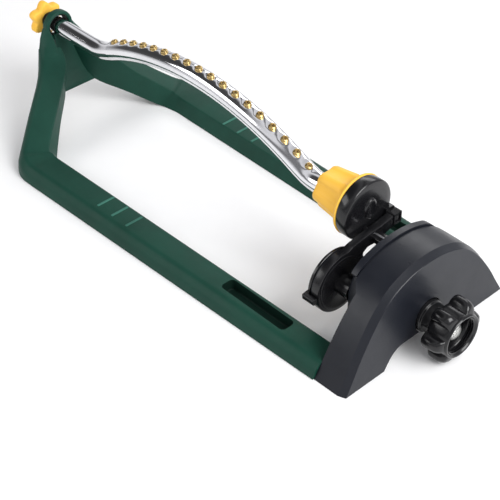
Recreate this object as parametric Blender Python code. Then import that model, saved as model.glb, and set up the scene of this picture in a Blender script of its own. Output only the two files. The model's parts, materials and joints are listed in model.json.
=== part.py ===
"""Oscillating lawn sprinkler: green frame, water motor, arched spray tube.

Lengths are in millimetres until a mesh is made. X runs along the spray tube, from the end
plug to the hose coupling, and is counted from the housing's front face. Y runs across, from
the dial side to the far side. Z is up, from the ground.
"""
import math

import bmesh
import bpy
from mathutils import Matrix, Vector
from mathutils.geometry import tessellate_polygon

MM = 0.001
GAP = 0.3                 # clearance between pieces that touch

# driving dimensions
PLUG_END_X = -496.0       # rear end of the end plug
COUPLING_END_X = 33.0     # mouth of the hose coupling
ORIGIN_X = (PLUG_END_X + COUPLING_END_X) / 2
AXIS_Z = 90.8             # height of the tube's axis at its front end
AXIS_PIVOT_X = -85.0
AXIS_DROP = 0.011         # the axis falls this much per millimetre towards the plug
SWING_AT_REST = 3.0       # degrees that the jets lean to the dial side

RAIL_HEIGHT = 13.5
RAIL_WALL = 2.4
HOUSING_HALF_WIDTH = 94.0
HOUSING_TOP = 85.0
HOUSING_WALL = 2.6
FRONT_LEAN = 0.06         # the front face leans back this much per millimetre of height
INLET_Z = 26.9
THREAD_RADIUS = 13.3      # three-quarter inch hose thread

TUBE_RADIUS = 8.75
TUBE_BORE = 6.9
JET_COUNT = 18
JET_PITCH = 15.2
JET_TIP_RADIUS = 280.0    # arc through the jets' tips
JET_ARC_X = -266.7        # middle of that arc
JET_ARC_RISE = 43.0       # its top above the tube's axis
JET_SHIFT = 8.85          # the row of jets sits this far towards the nut
JET_TIP_HEIGHT = 10.3     # tips above the tube's centreline
KNOB_LOBES = 6            # lobes of the end plug's knob
KNOB_TURN = math.radians(33.0)
COUPLING_TURN = math.radians(1.0)

BUSH_RADIUS = 11.0
SCREW_XS = (-14.0, -25.0)   # housing screws, through the frame's tongues

DIAL_Y, DIAL_Z = -37.0, 45.0
DIAL_RADIUS = 26.5
GEAR_MODULE = 3.2 / 3
TUBE_GEAR_TEETH = 27
OUTPUT_PINION_TEETH = 8
OUTPUT_GEAR_TEETH = 10
PINION_TEETH = 9
WHEEL_TEETH = 27

COLOURS = {
    "green": ((0.020, 0.085, 0.060), 0.45, 0.0),
    "black": ((0.022, 0.023, 0.026), 0.45, 0.0),
    "gloss_black": ((0.010, 0.010, 0.011), 0.25, 0.0),
    "grey": ((0.10, 0.105, 0.12), 0.5, 0.0),
    "yellow": ((1.0, 0.52, 0.06), 0.35, 0.0),
    "brass": ((0.48, 0.29, 0.07), 0.3, 1.0),
    "chrome": ((0.75, 0.75, 0.76), 0.12, 1.0),
    "steel": ((0.55, 0.55, 0.57), 0.3, 1.0),
    "white": ((0.72, 0.72, 0.70), 0.45, 0.0),
    "rubber": ((0.02, 0.02, 0.02), 0.8, 0.0),
}


def clear_scene():
    for obj in list(bpy.data.objects):
        bpy.data.objects.remove(obj, do_unlink=True)


def material(key):
    mat = bpy.data.materials.get(key)
    if mat is None:
        mat = bpy.data.materials.new(key)
        mat.use_nodes = True
        colour, roughness, metallic = COLOURS[key]
        shader = mat.node_tree.nodes["Principled BSDF"]
        shader.inputs["Base Color"].default_value = (*colour, 1.0)
        shader.inputs["Roughness"].default_value = roughness
        shader.inputs["Metallic"].default_value = metallic
    return mat


def world(x, y, z):
    return Vector(((x - ORIGIN_X) * MM, y * MM, z * MM))


def finish(name, bm, key, pivot=None):
    """Close, orient and shade a mesh; its origin goes on pivot, in millimetres."""
    bmesh.ops.remove_doubles(bm, verts=bm.verts, dist=1e-6)
    bmesh.ops.recalc_face_normals(bm, faces=bm.faces)
    mesh = bpy.data.meshes.new(name)
    bm.to_mesh(mesh)
    bm.free()
    mesh.shade_smooth()
    mesh.set_sharp_from_angle(angle=math.radians(35))
    obj = bpy.data.objects.new(name, mesh)
    obj.data.materials.append(material(key))
    bpy.context.scene.collection.objects.link(obj)
    if pivot is not None:
        origin = world(*pivot)
        mesh.transform(Matrix.Translation(-origin))
        obj.location = origin
    return obj


def as_cutter(obj):
    obj.hide_render = True
    obj.display_type = "WIRE"
    return obj


def combine(obj, tool, operation):
    """Add an exact boolean of tool to obj; the tool becomes a hidden guide."""
    mod = obj.modifiers.new(operation.lower(), "BOOLEAN")
    mod.operation = operation
    mod.solver = "EXACT"
    mod.object = as_cutter(tool)
    return obj


def add_prism(bm, loops, x0, x1):
    """Extrude an outline in YZ, with holes, from x0 to x1."""
    flat = [[Vector((y, z, 0)) for y, z in loop] for loop in loops]
    triangles = tessellate_polygon(flat)
    points = [p for loop in loops for p in loop]
    ends = [[bm.verts.new(world(x, y, z)) for y, z in points] for x in (x0, x1)]
    for tri in triangles:
        for end in ends:
            bm.faces.new([end[i] for i in tri])
    start = 0
    for loop in loops:
        count = len(loop)
        for i in range(count):
            j = start + (i + 1) % count
            bm.faces.new((ends[0][start + i], ends[0][j], ends[1][j], ends[1][start + i]))
        start += count


def prism(name, loops, x0, x1, key, pivot=None):
    bm = bmesh.new()
    add_prism(bm, loops, x0, x1)
    return finish(name, bm, key, pivot)


def circle(y, z, radius, count=32, turn=0.0):
    step = 2 * math.pi / count
    return [(y + radius * math.cos(turn + i * step), z + radius * math.sin(turn + i * step))
            for i in range(count)]


def axle_z(x):
    return AXIS_Z + AXIS_DROP * (x - AXIS_PIVOT_X)


def add_turned(bm, profile, y, z, count=32, drop=0.0):
    """Turn a closed (x, radius) outline about the X line through (y, z)."""
    rings = []
    for x, radius in profile:
        low = z + drop * (x - AXIS_PIVOT_X)
        if radius == 0:
            rings.append([bm.verts.new(world(x, y, low))])
        else:
            rings.append([bm.verts.new(world(x, *p)) for p in circle(y, low, radius, count)])
    for k, ring in enumerate(rings):
        other = rings[(k + 1) % len(rings)]
        for i in range(count):
            j = (i + 1) % count
            if len(ring) == 1 and len(other) == 1:
                break
            if len(ring) == 1:
                bm.faces.new((ring[0], other[i], other[j]))
            elif len(other) == 1:
                bm.faces.new((ring[i], ring[j], other[0]))
            else:
                bm.faces.new((ring[i], ring[j], other[j], other[i]))


def turned(name, profile, y, z, key, count=32, pivot=None, drop=0.0):
    bm = bmesh.new()
    add_turned(bm, profile, y, z, count, drop)
    return finish(name, bm, key, pivot)


def add_loft(bm, sections):
    """Skin a row of closed sections with the same number of points, and cap both ends."""
    rings = [[bm.verts.new(world(*p)) for p in section] for section in sections]
    for a, b in zip(rings, rings[1:]):
        for i in range(len(a)):
            j = (i + 1) % len(a)
            bm.faces.new((a[i], a[j], b[j], b[i]))
    for ring, section in ((rings[0], sections[0]), (rings[-1], sections[-1])):
        for tri in tessellate_polygon([[Vector(p) for p in section]]):
            bm.faces.new([ring[i] for i in tri])


def gear_outline(y, z, teeth, turn):
    """Trapezoid teeth about (y, z); one tooth points along the angle turn."""
    pitch = GEAR_MODULE * teeth / 2
    tip, root = pitch + 0.75 * GEAR_MODULE, pitch - 1.0 * GEAR_MODULE
    step = 2 * math.pi / teeth
    points = []
    for i in range(teeth):
        a = turn + i * step
        for radius, share in ((root, -0.32), (tip, -0.12), (tip, 0.12), (root, 0.32)):
            angle = a + share * step
            points.append((y + radius * math.cos(angle), z + radius * math.sin(angle)))
    return points


def centre_distance(teeth_a, teeth_b):
    return GEAR_MODULE * (teeth_a + teeth_b) / 2


def crossing(a, b, reach_a, reach_b):
    """The point at the given distances from a and b, on the left of the line a to b."""
    dy, dz = b[0] - a[0], b[1] - a[1]
    d = math.hypot(dy, dz)
    along = (reach_a ** 2 - reach_b ** 2 + d * d) / (2 * d)
    side = math.sqrt(reach_a ** 2 - along ** 2)
    return (a[0] + (along * dy - side * dz) / d, a[1] + (along * dz + side * dy) / d)


def angle_to(a, b):
    return math.atan2(b[1] - a[1], b[0] - a[0])


def mesh_turn(angle, teeth):
    """Turn of a gear whose tooth space, not a tooth, faces the given angle."""
    return angle + math.pi / teeth


# ---------------------------------------------------------------- frame

def rail_outline(x):
    """Outer edge of a rail's section at x, from the outer foot over the top to the inner foot."""
    outer = 95.6 - 0.03 * x
    inner = 66.3 - 0.02 * x
    return [(x, outer, 0.0), (x, outer - 2.0, 7.5), (x, outer - 8.5, RAIL_HEIGHT),
            (x, inner, RAIL_HEIGHT), (x, inner - 6.0, 0.0)]


CORNER_OUTLINES = (
    [(-398.0, 106.5, 0.0), (-396.0, 105.5, 7.5), (-393.0, 99.5, 14.0), (-388.0, 74.2, 14.0),
     (-391.0, 66.5, 0.0)],
    [(-411.0, 100.0, 1.5), (-408.5, 101.0, 9.5), (-403.5, 96.0, 16.0), (-392.0, 73.5, 15.0),
     (-398.5, 65.0, 0.5)],
    [(-421.0, 90.0, 8.0), (-417.0, 91.5, 14.0), (-412.0, 89.5, 18.0), (-398.5, 73.0, 17.0),
     (-406.0, 58.5, 4.0)],
)
LEG_OUTLINES = (
    [(-440.0, 62.0, 33.0), (-436.5, 63.0, 37.0), (-431.5, 61.5, 40.0), (-416.5, 46.5, 39.5),
     (-425.0, 38.8, 18.0)],
    [(-449.5, 44.0, 53.0), (-446.0, 44.3, 57.0), (-441.5, 42.5, 59.0), (-426.5, 29.0, 59.5),
     (-444.0, 17.0, 32.0)],
    [(-461.5, 28.5, 61.0), (-458.0, 28.5, 64.5), (-453.5, 27.5, 66.5), (-439.5, 14.5, 66.5),
     (-457.0, 10.0, 47.0)],
    [(-470.5, 13.0, 74.0), (-469.0, 13.0, 77.0), (-466.5, 11.5, 78.5), (-457.0, 6.0, 77.0),
     (-466.0, 5.0, 64.0)],
)


def channel(outline, along):
    """Close an open outline with its copy set inwards by the wall, square to along."""
    points = [Vector(p) for p in outline]
    normals = []
    for a, b in zip(points, points[1:]):
        normals.append((b - a).cross(along).normalized())
    inner = []
    for i, p in enumerate(points):
        before, after = normals[max(i - 1, 0)], normals[min(i, len(normals) - 1)]
        inner.append(p + (before + after) * (RAIL_WALL / (1 + before.dot(after))))
    for end in (0, -1):
        inner[end].z = max(inner[end].z, points[end].z)
    return [tuple(p) for p in points + inner[::-1]]


def half_frame(side):
    """One rail, the rear corner and the leg up to the collar."""
    outlines = [rail_outline(x) for x in (-31.0, -150.0, -270.0, -380.0)]
    outlines += list(CORNER_OUTLINES) + list(LEG_OUTLINES)
    centres = [sum((Vector(p) for p in line), Vector()) / len(line) for line in outlines]
    sections = []
    for i, line in enumerate(outlines):
        along = (centres[min(i + 1, len(centres) - 1)] - centres[max(i - 1, 0)]).normalized()
        if i < 4:
            along = Vector((-1.0, 0.0, 0.0))
        sections.append([(x, side * y, z) for x, y, z in channel(line, along)])
    bm = bmesh.new()
    add_loft(bm, sections)
    bmesh.ops.triangulate(bm, faces=bm.faces)
    return bm


def box_section(x, y0, y1, z0, z1):
    return [(x, y0, z0), (x, y1, z0), (x, y1, z1), (x, y0, z1)]


def rounded_slot(x, y, half_x, half_y, corner):
    outline = []
    for sx, sy, start in ((1, 1, 0), (-1, 1, 90), (-1, -1, 180), (1, -1, 270)):
        for i in range(4):
            a = math.radians(start + 30 * i)
            outline.append((x + sx * (half_x - corner) + corner * math.cos(a),
                            y + sy * (half_y - corner) + corner * math.sin(a)))
    return outline


def guide(name, bm):
    return finish(name, bm, "green")


def build_frame():
    frame = finish("base_frame", half_frame(-1), "green")
    combine(frame, guide("frame_far_half", half_frame(1)), "UNION")

    bm = bmesh.new()
    add_turned(bm, [(-476, 0), (-476, 13.5), (-475, 14.8), (-466.5, 15.0), (-465, 13.8), (-465, 0)],
               0, AXIS_Z, 30, AXIS_DROP)
    combine(frame, guide("frame_collar", bm), "UNION")

    # web between the legs, with a lip along its lower edge
    bm = bmesh.new()
    front = [(-444.0, 17.5, 32.0), (-447.5, 15.5, 38.0), (-449.5, 14.8, 42.0), (-460.0, 10.0, 62.0),
             (-467.5, 7.5, 78.0)]
    left, right = ([(x, side * y, z) for x, y, z in front] for side in (-1, 1))
    rear = [(x - 4.5, y, z - 1.5) for x, y, z in (left[0], right[0], right[-1], left[-1])]
    add_loft(bm, [[left[0], right[0], right[-1], left[-1]], rear])
    combine(frame, guide("frame_web", bm), "UNION")

    # closed rail ends, with the tongues that the housing is screwed to
    bm = bmesh.new()
    tongue = [(87.0, 1.6), (87.0, 5.5), (87.0, 9.5), (71.0, 9.5), (71.0, 1.6)]
    plate = [(95.2, 0.8), (93.4, 7.6), (87.4, 12.4), (68.0, 12.4), (63.0, 0.8)]
    for side in (-1, 1):
        add_loft(bm, [[(x, side * y, z) for y, z in section] for x, section in (
            (-9.0, tongue), (-31.6, tongue), (-31.6, plate), (-34.0, plate))])
    combine(frame, guide("frame_tongues", bm), "UNION")

    # pocket: a floor under a slot in the top of each rail
    bm = bmesh.new()
    for side in (-1, 1):
        add_loft(bm, [box_section(-74.0, side * 65.5, side * 95.0, 3.0, 5.0),
                      box_section(-151.0, side * 67.0, side * 97.0, 3.0, 5.0)])
    combine(frame, guide("frame_pocket_floors", bm), "UNION")
    bm = bmesh.new()
    for side in (-1, 1):
        outline = rounded_slot(-112.5, side * 78.4, 35.5, 6.3, 4.0)
        add_loft(bm, [[(x, y, z) for x, y in outline] for z in (7.0, 20.0)])
    combine(frame, guide("frame_pockets", bm), "DIFFERENCE")

    bm = bmesh.new()
    for side, first_x in ((-1, -303.0), (1, -322.0)):
        for i in range(3):
            x = first_x + 19.5 * i
            add_loft(bm, [box_section(x, side * 73.2, side * 92.0, RAIL_HEIGHT - 1, RAIL_HEIGHT + 0.8),
                          box_section(x + 2.6, side * 73.2, side * 92.0, RAIL_HEIGHT - 1,
                                      RAIL_HEIGHT + 0.8)])
    combine(frame, guide("frame_ribs", bm), "UNION")

    bm = bmesh.new()
    add_turned(bm, [(-480, 0), (-480, BUSH_RADIUS + GAP), (-440, BUSH_RADIUS + GAP), (-440, 0)],
               0, AXIS_Z, 24, AXIS_DROP)
    for side in (-1, 1):
        for x in SCREW_XS:
            add_loft(bm, [[(x + 1.6 * math.cos(math.pi * i / 4),
                            side * 79.0 + 1.6 * math.sin(math.pi * i / 4), z) for i in range(8)]
                          for z in (0.0, 8.0)])
    combine(frame, guide("frame_bores", bm), "DIFFERENCE")


# ---------------------------------------------------------------- housing and motor case

def arch(inset, foot=0.0, steps=14):
    """Outline of the housing's arch from the near foot over the top to the far foot."""
    half = HOUSING_HALF_WIDTH - inset
    top = HOUSING_TOP - inset
    knee_y, knee_z = 0.56 * half, 0.80 * top
    points = [(half, foot), (0.955 * half, 0.20 * top), (0.76 * half, 0.54 * top)]
    right = points + [(knee_y, knee_z)]
    crown = []
    for i in range(1, steps):
        y = knee_y * math.cos(math.pi * i / steps)
        rise = 1 - (y / knee_y) ** 2
        crown.append((y, knee_z + (top - knee_z) * rise ** 0.85))
    left = [(-y, z) for y, z in reversed(right)]
    return right + crown + left


def build_housing():
    """Arched cover: a front wall and a band, open to the rear and the ground."""
    under = [(-50.0, 0.0), (-44.0, 8.0), (-38.0, 13.5), (-31.0, 15.5)]
    under_far = [(-y, z) for y, z in reversed(under)]
    bm = bmesh.new()
    outline = arch(0.0) + under + under_far
    front = [(y * 0.955, 0.945 * z) if z > 0 else (y * 0.99, z) for y, z in arch(0.0)]
    front += under + under_far
    sections = []
    for x, share in ((-29.0, 0.0), (-4.5, 0.0), (0.0, 1.0)):
        ring = []
        for p, q in zip(outline, front):
            y = p[0] + (q[0] - p[0]) * share
            z = p[1] + (q[1] - p[1]) * share
            lean = 0.09 * z if x < -10 else FRONT_LEAN * z
            ring.append((x - lean, y, z))
        sections.append(ring)
    add_loft(bm, sections)
    bmesh.ops.triangulate(bm, faces=bm.faces)
    housing = finish("front_housing", bm, "black")

    bm = bmesh.new()
    inner = arch(HOUSING_WALL, foot=-5.0)
    ring = [(-3.2 - HOUSING_WALL, y, z) for y, z in inner]
    ring = [(x - FRONT_LEAN * z, y, z) for x, y, z in ring]
    add_loft(bm, [ring, [(-60.0, y, z) for _, y, z in ring]])
    bmesh.ops.triangulate(bm, faces=bm.faces)
    combine(housing, guide("housing_hollow", bm), "DIFFERENCE")

    bm = bmesh.new()
    add_turned(bm, [(-12, 0), (-12, 15.2), (6, 15.2), (6, 0)], 0, INLET_Z, 32)
    combine(housing, guide("housing_inlet_hole", bm), "DIFFERENCE")

    bm = bmesh.new()
    lip_outer = arch(-1.6)[3:-3]
    lip_inner = [(y, z) for y, z in arch(HOUSING_WALL - 0.6)[3:-3]]
    add_prism(bm, [lip_outer + lip_inner[::-1]], -39.0, -33.5)
    combine(housing, guide("housing_lip", bm), "UNION")


def case_outline(inset):
    """Outline of the motor case across the housing: flat bottom, domed top."""
    half, base, top = 46.0 - inset, 12.0 + inset, 81.6 - inset
    points = []
    for i in range(17):
        a = math.pi * i / 16
        points.append((half * math.cos(a), 46.0 + (top - 46.0) * math.sin(a) ** 0.9))
    for a in (200, 225, 250):
        points.append((-half + 16 + 16 * math.cos(math.radians(a)),
                       base + 16 + 16 * math.sin(math.radians(a))))
    for a in (290, 315, 340):
        points.append((half - 16 + 16 * math.cos(math.radians(a)),
                       base + 16 + 16 * math.sin(math.radians(a))))
    return points


CASE_REAR_X, CASE_SPLIT_X, CASE_FRONT_X = -47.0, -19.0, -8.0
CASE_WALL = 2.0


def build_motor_case(train):
    bm = bmesh.new()
    rims = [(CASE_REAR_X, 3.0), (CASE_REAR_X + 3.0, 0.0), (CASE_SPLIT_X - GAP, 0.0),
            (CASE_SPLIT_X - GAP, CASE_WALL), (CASE_REAR_X + CASE_WALL, CASE_WALL + 1.0)]
    add_loft(bm, [[(x, y, z) for y, z in case_outline(inset)] for x, inset in rims])
    bmesh.ops.triangulate(bm, faces=bm.faces)
    case = finish("motor_case", bm, "grey")
    bm = bmesh.new()
    y, z = train["output"]
    add_turned(bm, [(-50, 0), (-50, 2.2), (-42, 2.2), (-42, 0)], y, z, 14)
    combine(case, guide("case_shaft_hole", bm), "DIFFERENCE")

    bm = bmesh.new()
    rims = [(CASE_FRONT_X, 2.0, FRONT_LEAN), (CASE_FRONT_X - 2.0, 0.0, FRONT_LEAN),
            (CASE_SPLIT_X + 0.6, 0.0, 0.0), (CASE_SPLIT_X + 0.6, CASE_WALL, 0.0),
            (CASE_FRONT_X - CASE_WALL, CASE_WALL + 0.5, FRONT_LEAN)]
    add_loft(bm, [[(x - lean * z, y, z) for y, z in case_outline(inset)]
                  for x, inset, lean in rims])
    bmesh.ops.triangulate(bm, faces=bm.faces)
    cover = finish("turbine_cover", bm, "black")
    neck = [(CASE_FRONT_X - 2.8, 7.6), (CASE_FRONT_X - 2.8, 14.5), (9.0, 14.5), (9.0, 10.6),
            (15.0, 10.6), (15.0, 12.6), (17.0, 12.6), (17.0, 7.6)]
    bm = bmesh.new()
    add_turned(bm, neck, 0, INLET_Z, 28)
    combine(cover, guide("cover_neck", bm), "UNION")
    bm = bmesh.new()
    add_turned(bm, [(-14, 0), (-14, 7.6), (20, 7.6), (20, 0)], 0, INLET_Z, 28)
    combine(cover, guide("cover_inlet", bm), "DIFFERENCE")

    outer, inner = case_outline(0.0), case_outline(CASE_WALL)
    prism("case_gasket", [outer, inner], CASE_SPLIT_X, CASE_SPLIT_X + 0.3, "rubber")


# ---------------------------------------------------------------- turbine and gears

def gear_train():
    """Centres of the turbine, gears and output shaft in the YZ plane, and the tooth turns."""
    tube = (0.0, AXIS_Z)
    output = (0.0, AXIS_Z - centre_distance(TUBE_GEAR_TEETH, OUTPUT_PINION_TEETH))
    turbine = (0.0, INLET_Z)
    last = centre_distance(PINION_TEETH, OUTPUT_GEAR_TEETH)
    stage = centre_distance(PINION_TEETH, WHEEL_TEETH)
    gear_b = (output[0] + last * math.sin(math.radians(20)),
              output[1] - last * math.cos(math.radians(20)))
    gear_a = crossing(turbine, gear_b, stage, stage)
    return {"tube": tube, "output": output, "turbine": turbine, "gear_a": gear_a, "gear_b": gear_b}


def add_gear(bm, centre, teeth, turn, x0, x1, bore):
    add_prism(bm, [gear_outline(*centre, teeth, turn), circle(*centre, bore, 12)], x0, x1)


def build_gears(train):
    turbine, gear_a, gear_b, output, tube = (
        train[k] for k in ("turbine", "gear_a", "gear_b", "output", "tube"))

    bm = bmesh.new()
    blades = []
    for i in range(10):
        a = 2 * math.pi * i / 10
        for radius, shift in ((5.0, -0.16), (11.6, -0.02), (11.6, 0.14), (5.0, 0.22)):
            blades.append((turbine[0] + radius * math.cos(a + shift),
                           turbine[1] + radius * math.sin(a + shift)))
    add_prism(bm, [blades, circle(*turbine, 1.8, 12)], -20.0, -14.4)
    finish("turbine_wheel", bm, "white", (-15.0, *turbine))

    bm = bmesh.new()
    turn = angle_to(turbine, gear_a)
    shaft_top, shaft_end = -12.6, -43.5
    add_loft(bm, [[(shaft_top, y, z) for y, z in circle(*turbine, 1.5, 12)],
                  [(-24.0, y, z) for y, z in circle(*turbine, 1.5, 12)]])
    shaft = finish("turbine_shaft", bm, "steel", (-15.0, *turbine))
    bm = bmesh.new()
    add_prism(bm, [gear_outline(*turbine, PINION_TEETH, turn)], -27.0, -22.5)
    combine(shaft, guide("turbine_pinion", bm), "UNION")
    bm = bmesh.new()
    add_prism(bm, [circle(*turbine, 1.5, 12)], shaft_end, -26.0)
    combine(shaft, guide("turbine_shaft_tail", bm), "UNION")

    turn_a = mesh_turn(angle_to(gear_a, turbine), WHEEL_TEETH)
    for name, centre, follower, x_wheel, x_pinion, turn in (
            ("gear_a", gear_a, gear_b, -26.5, -31.5, turn_a),
            ("gear_b", gear_b, output, -31.0, -36.5, mesh_turn(angle_to(gear_b, gear_a), WHEEL_TEETH))):
        bm = bmesh.new()
        add_gear(bm, centre, WHEEL_TEETH, turn, x_wheel, x_wheel + 3.5, 1.85)
        gear = finish(name, bm, "white", (x_wheel, *centre))
        bm = bmesh.new()
        add_gear(bm, centre, PINION_TEETH, angle_to(centre, follower), x_pinion, x_wheel + 0.5, 1.85)
        combine(gear, guide(name + "_pinion", bm), "UNION")

    for name, centre in (("axle_a", gear_a), ("axle_b", gear_b)):
        prism(name, [circle(*centre, 1.5, 12)], -44.6, -20.5, "steel")

    bm = bmesh.new()
    add_prism(bm, [circle(*output, 1.8, 14)], -76.5, -34.0)
    shaft = finish("output_shaft", bm, "steel", (-50.0, *output))
    bm = bmesh.new()
    turn = mesh_turn(angle_to(output, gear_b), OUTPUT_GEAR_TEETH)
    add_prism(bm, [gear_outline(*output, OUTPUT_GEAR_TEETH, turn)], -36.2, -32.0)
    add_prism(bm, [gear_outline(*output, OUTPUT_PINION_TEETH, angle_to(output, tube))], -77.0, -72.6)
    combine(shaft, guide("output_gears", bm), "UNION")


# ---------------------------------------------------------------- bridge, socket and dial

BRIDGE_FRONT_X, BRIDGE_REAR_X = -60.0, -66.8


def bridge_outline(inset):
    """Round chamber at the dial, with the arm that crosses below the tube's axis."""
    radius = 27.0 - inset
    points = []
    for i in range(19):
        a = math.radians(80 + 280 * i / 18)
        points.append((DIAL_Y + radius * math.cos(a), DIAL_Z + radius * math.sin(a)))
    points += [(-13.5 + inset, 57.5), (-15.0 + inset, 62.0 + inset), (-9.5, 65.8 + inset),
               (-2.0, 65.0 + inset), (4.0, 64.5 + inset), (12.0, 69.0 + inset),
               (27.0 - inset, 71.5 + inset),
               (27.0 - inset, 81.5 - inset), (4.0, 78.0 - inset), (-14.0, 76.2 - inset),
               (-26.5, 74.2 - inset)]
    return points


def build_bridge(train):
    bm = bmesh.new()
    rims = [(BRIDGE_REAR_X, 0.0), (BRIDGE_FRONT_X - 1.0, 0.0), (BRIDGE_FRONT_X, 1.0)]
    add_loft(bm, [[(x, y, z) for y, z in bridge_outline(inset)] for x, inset in rims])
    bmesh.ops.triangulate(bm, faces=bm.faces)
    bridge = finish("drive_bridge", bm, "gloss_black")
    bm = bmesh.new()
    block = [(14.5, 70.6), (27.6, 70.6), (27.6, 83.5), (14.5, 81.8)]
    add_prism(bm, [block], -66.8, -59.0)
    combine(bridge, guide("bridge_end_block", bm), "UNION")
    bm = bmesh.new()
    add_prism(bm, [[(-8.0, 66.8), (8.0, 67.2), (8.0, 76.5), (-8.0, 76.0)]], -60.5, CASE_REAR_X - GAP)
    add_prism(bm, [circle(DIAL_Y, DIAL_Z, 9.0, 16)], -60.5, CASE_REAR_X - GAP)
    combine(bridge, guide("bridge_feet", bm), "UNION")
    bm = bmesh.new()
    add_prism(bm, [circle(DIAL_Y, DIAL_Z, 24.5, 28)], BRIDGE_REAR_X - 2, BRIDGE_FRONT_X - 2.0)
    add_prism(bm, [circle(*train["output"], 2.2, 14)], BRIDGE_REAR_X - 2, CASE_REAR_X + 2)
    combine(bridge, guide("bridge_bores", bm), "DIFFERENCE")

    cover = [circle(DIAL_Y, DIAL_Z, 26.0, 32), circle(DIAL_Y, DIAL_Z, 4.3, 16)]
    prism("bridge_cover", cover, BRIDGE_REAR_X - GAP - 1.2, BRIDGE_REAR_X - GAP, "black")

    dial = []
    notches = 24
    for i in range(notches * 4):
        a = 2 * math.pi * i / (notches * 4)
        radius = DIAL_RADIUS if i % 4 < 2 else DIAL_RADIUS - 1.0
        dial.append((DIAL_Y + radius * math.cos(a), DIAL_Z + radius * math.sin(a)))
    pivot = (-70.0, DIAL_Y, DIAL_Z)
    bm = bmesh.new()
    add_prism(bm, [dial, circle(DIAL_Y, DIAL_Z, 1.8, 12)], -72.5, -68.8)
    range_dial = finish("range_dial", bm, "gloss_black", pivot)
    bm = bmesh.new()
    add_prism(bm, [circle(DIAL_Y, DIAL_Z, 3.9, 16), circle(DIAL_Y, DIAL_Z, 1.8, 12)], -69.5, -64.6)
    combine(range_dial, guide("dial_hub", bm), "UNION")
    out = Vector((math.cos(math.radians(205)), math.sin(math.radians(205))))
    across = Vector((-out.y, out.x))
    bm = bmesh.new()
    for reach0, reach1, half in ((24.0, 30.0, 5.0), (29.5, 32.5, 9.5)):
        corners = [(reach0, -half), (reach1, -half), (reach1, half), (reach0, half)]
        tab = [(DIAL_Y + out.x * r + across.x * w, DIAL_Z + out.y * r + across.y * w)
               for r, w in corners]
        add_prism(bm, [tab], -72.3, -66.5 if half > 6 else -69.0)
        if half < 6:
            combine(range_dial, guide("dial_tab_stem", bm), "UNION")
            bm = bmesh.new()
    combine(range_dial, guide("dial_tab", bm), "UNION")

    cam = []
    for i in range(28):
        a = 2 * math.pi * i / 28
        radius = 14.0 + 5.0 * math.cos(a)
        cam.append((DIAL_Y + radius * math.cos(a), DIAL_Z + radius * math.sin(a)))
    prism("range_cam", [cam, circle(DIAL_Y, DIAL_Z, 1.8, 12)], -64.2, -62.4, "white", pivot)
    screw = [(-74.3, 0), (-74.3, 3.2), (-72.8, 3.4), (-72.8, 1.4), (-62.8, 1.4), (-62.8, 0)]
    turned("dial_screw", screw, DIAL_Y, DIAL_Z, "steel", 16, pivot)


def build_socket(train):
    """Drum with a closed front that holds the tube's front end and its gear."""
    profile = [(-80.3, 26.0), (-74.0, 26.2), (-71.0, 24.6), (-69.6, 21.5), (-69.3, 0),
               (-71.0, 0), (-71.0, 4.2), (-90.0, 4.2), (-90.0, 6.1), (-71.8, 6.1), (-71.8, 24.4),
               (-80.3, 24.4)]
    socket = turned("tube_socket", profile, 0, AXIS_Z, "black", 32)
    bm = bmesh.new()
    add_prism(bm, [circle(*train["output"], 2.2, 16)], -73, -66)
    combine(socket, guide("socket_shaft_hole", bm), "DIFFERENCE")
    bm = bmesh.new()
    boss = []
    for x, shrink in ((-69.5, 0.0), (-67.6, 0.6), (-67.2, 2.0)):
        ring = []
        for i in range(18):
            a = 2 * math.pi * i / 18
            ring.append((x, 1.0 + (6.3 - shrink) * math.cos(a), 93.0 + (9.5 - shrink) * math.sin(a)))
        boss.append(ring)
    add_loft(bm, boss)
    bmesh.ops.triangulate(bm, faces=bm.faces)
    combine(socket, guide("socket_boss", bm), "UNION")
    bm = bmesh.new()
    lug = [(17.5, 72.0), (25.5, 72.6), (29.5, 75.5), (27.0, 84.0), (18.0, 84.0)]
    add_prism(bm, [lug], -74.0, -67.0)
    combine(socket, guide("socket_lug", bm), "UNION")


# ---------------------------------------------------------------- tube, nut and jets

def tilted(y, z):
    """Turn a point about the tube's axis by the lean at rest; z is above the axis."""
    a = math.radians(SWING_AT_REST)
    return (y * math.cos(a) - z * math.sin(a), AXIS_Z + y * math.sin(a) + z * math.cos(a))


def tube_centreline():
    """Centreline as (x, height above AXIS_Z): the arc, eased into straight ends."""
    radius = JET_TIP_RADIUS - JET_TIP_HEIGHT
    low = JET_ARC_RISE - JET_TIP_RADIUS
    half = math.sqrt(radius ** 2 - low ** 2)
    raw = []
    for x in range(-520, -70, 2):
        axis_rise = axle_z(x) - AXIS_Z
        rise = axis_rise
        if abs(x - JET_ARC_X) < radius:
            rise = low + math.sqrt(radius ** 2 - (x - JET_ARC_X) ** 2)
        if x < JET_ARC_X:
            rise = max(rise, axis_rise)
        elif x > JET_ARC_X + half - 1:
            rise = max(rise, -3.4) * max(0.0, min(1.0, (-104.0 - x) / 14.0))
        raw.append((x, rise))
    smooth = []
    reach = 4
    for i in range(reach, len(raw) - reach):
        weights = [math.exp(-0.5 * (k / 2.2) ** 2) for k in range(-reach, reach + 1)]
        total = sum(w * raw[i + k][1] for w, k in zip(weights, range(-reach, reach + 1)))
        smooth.append((raw[i][0], total / sum(weights)))
    return smooth


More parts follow.
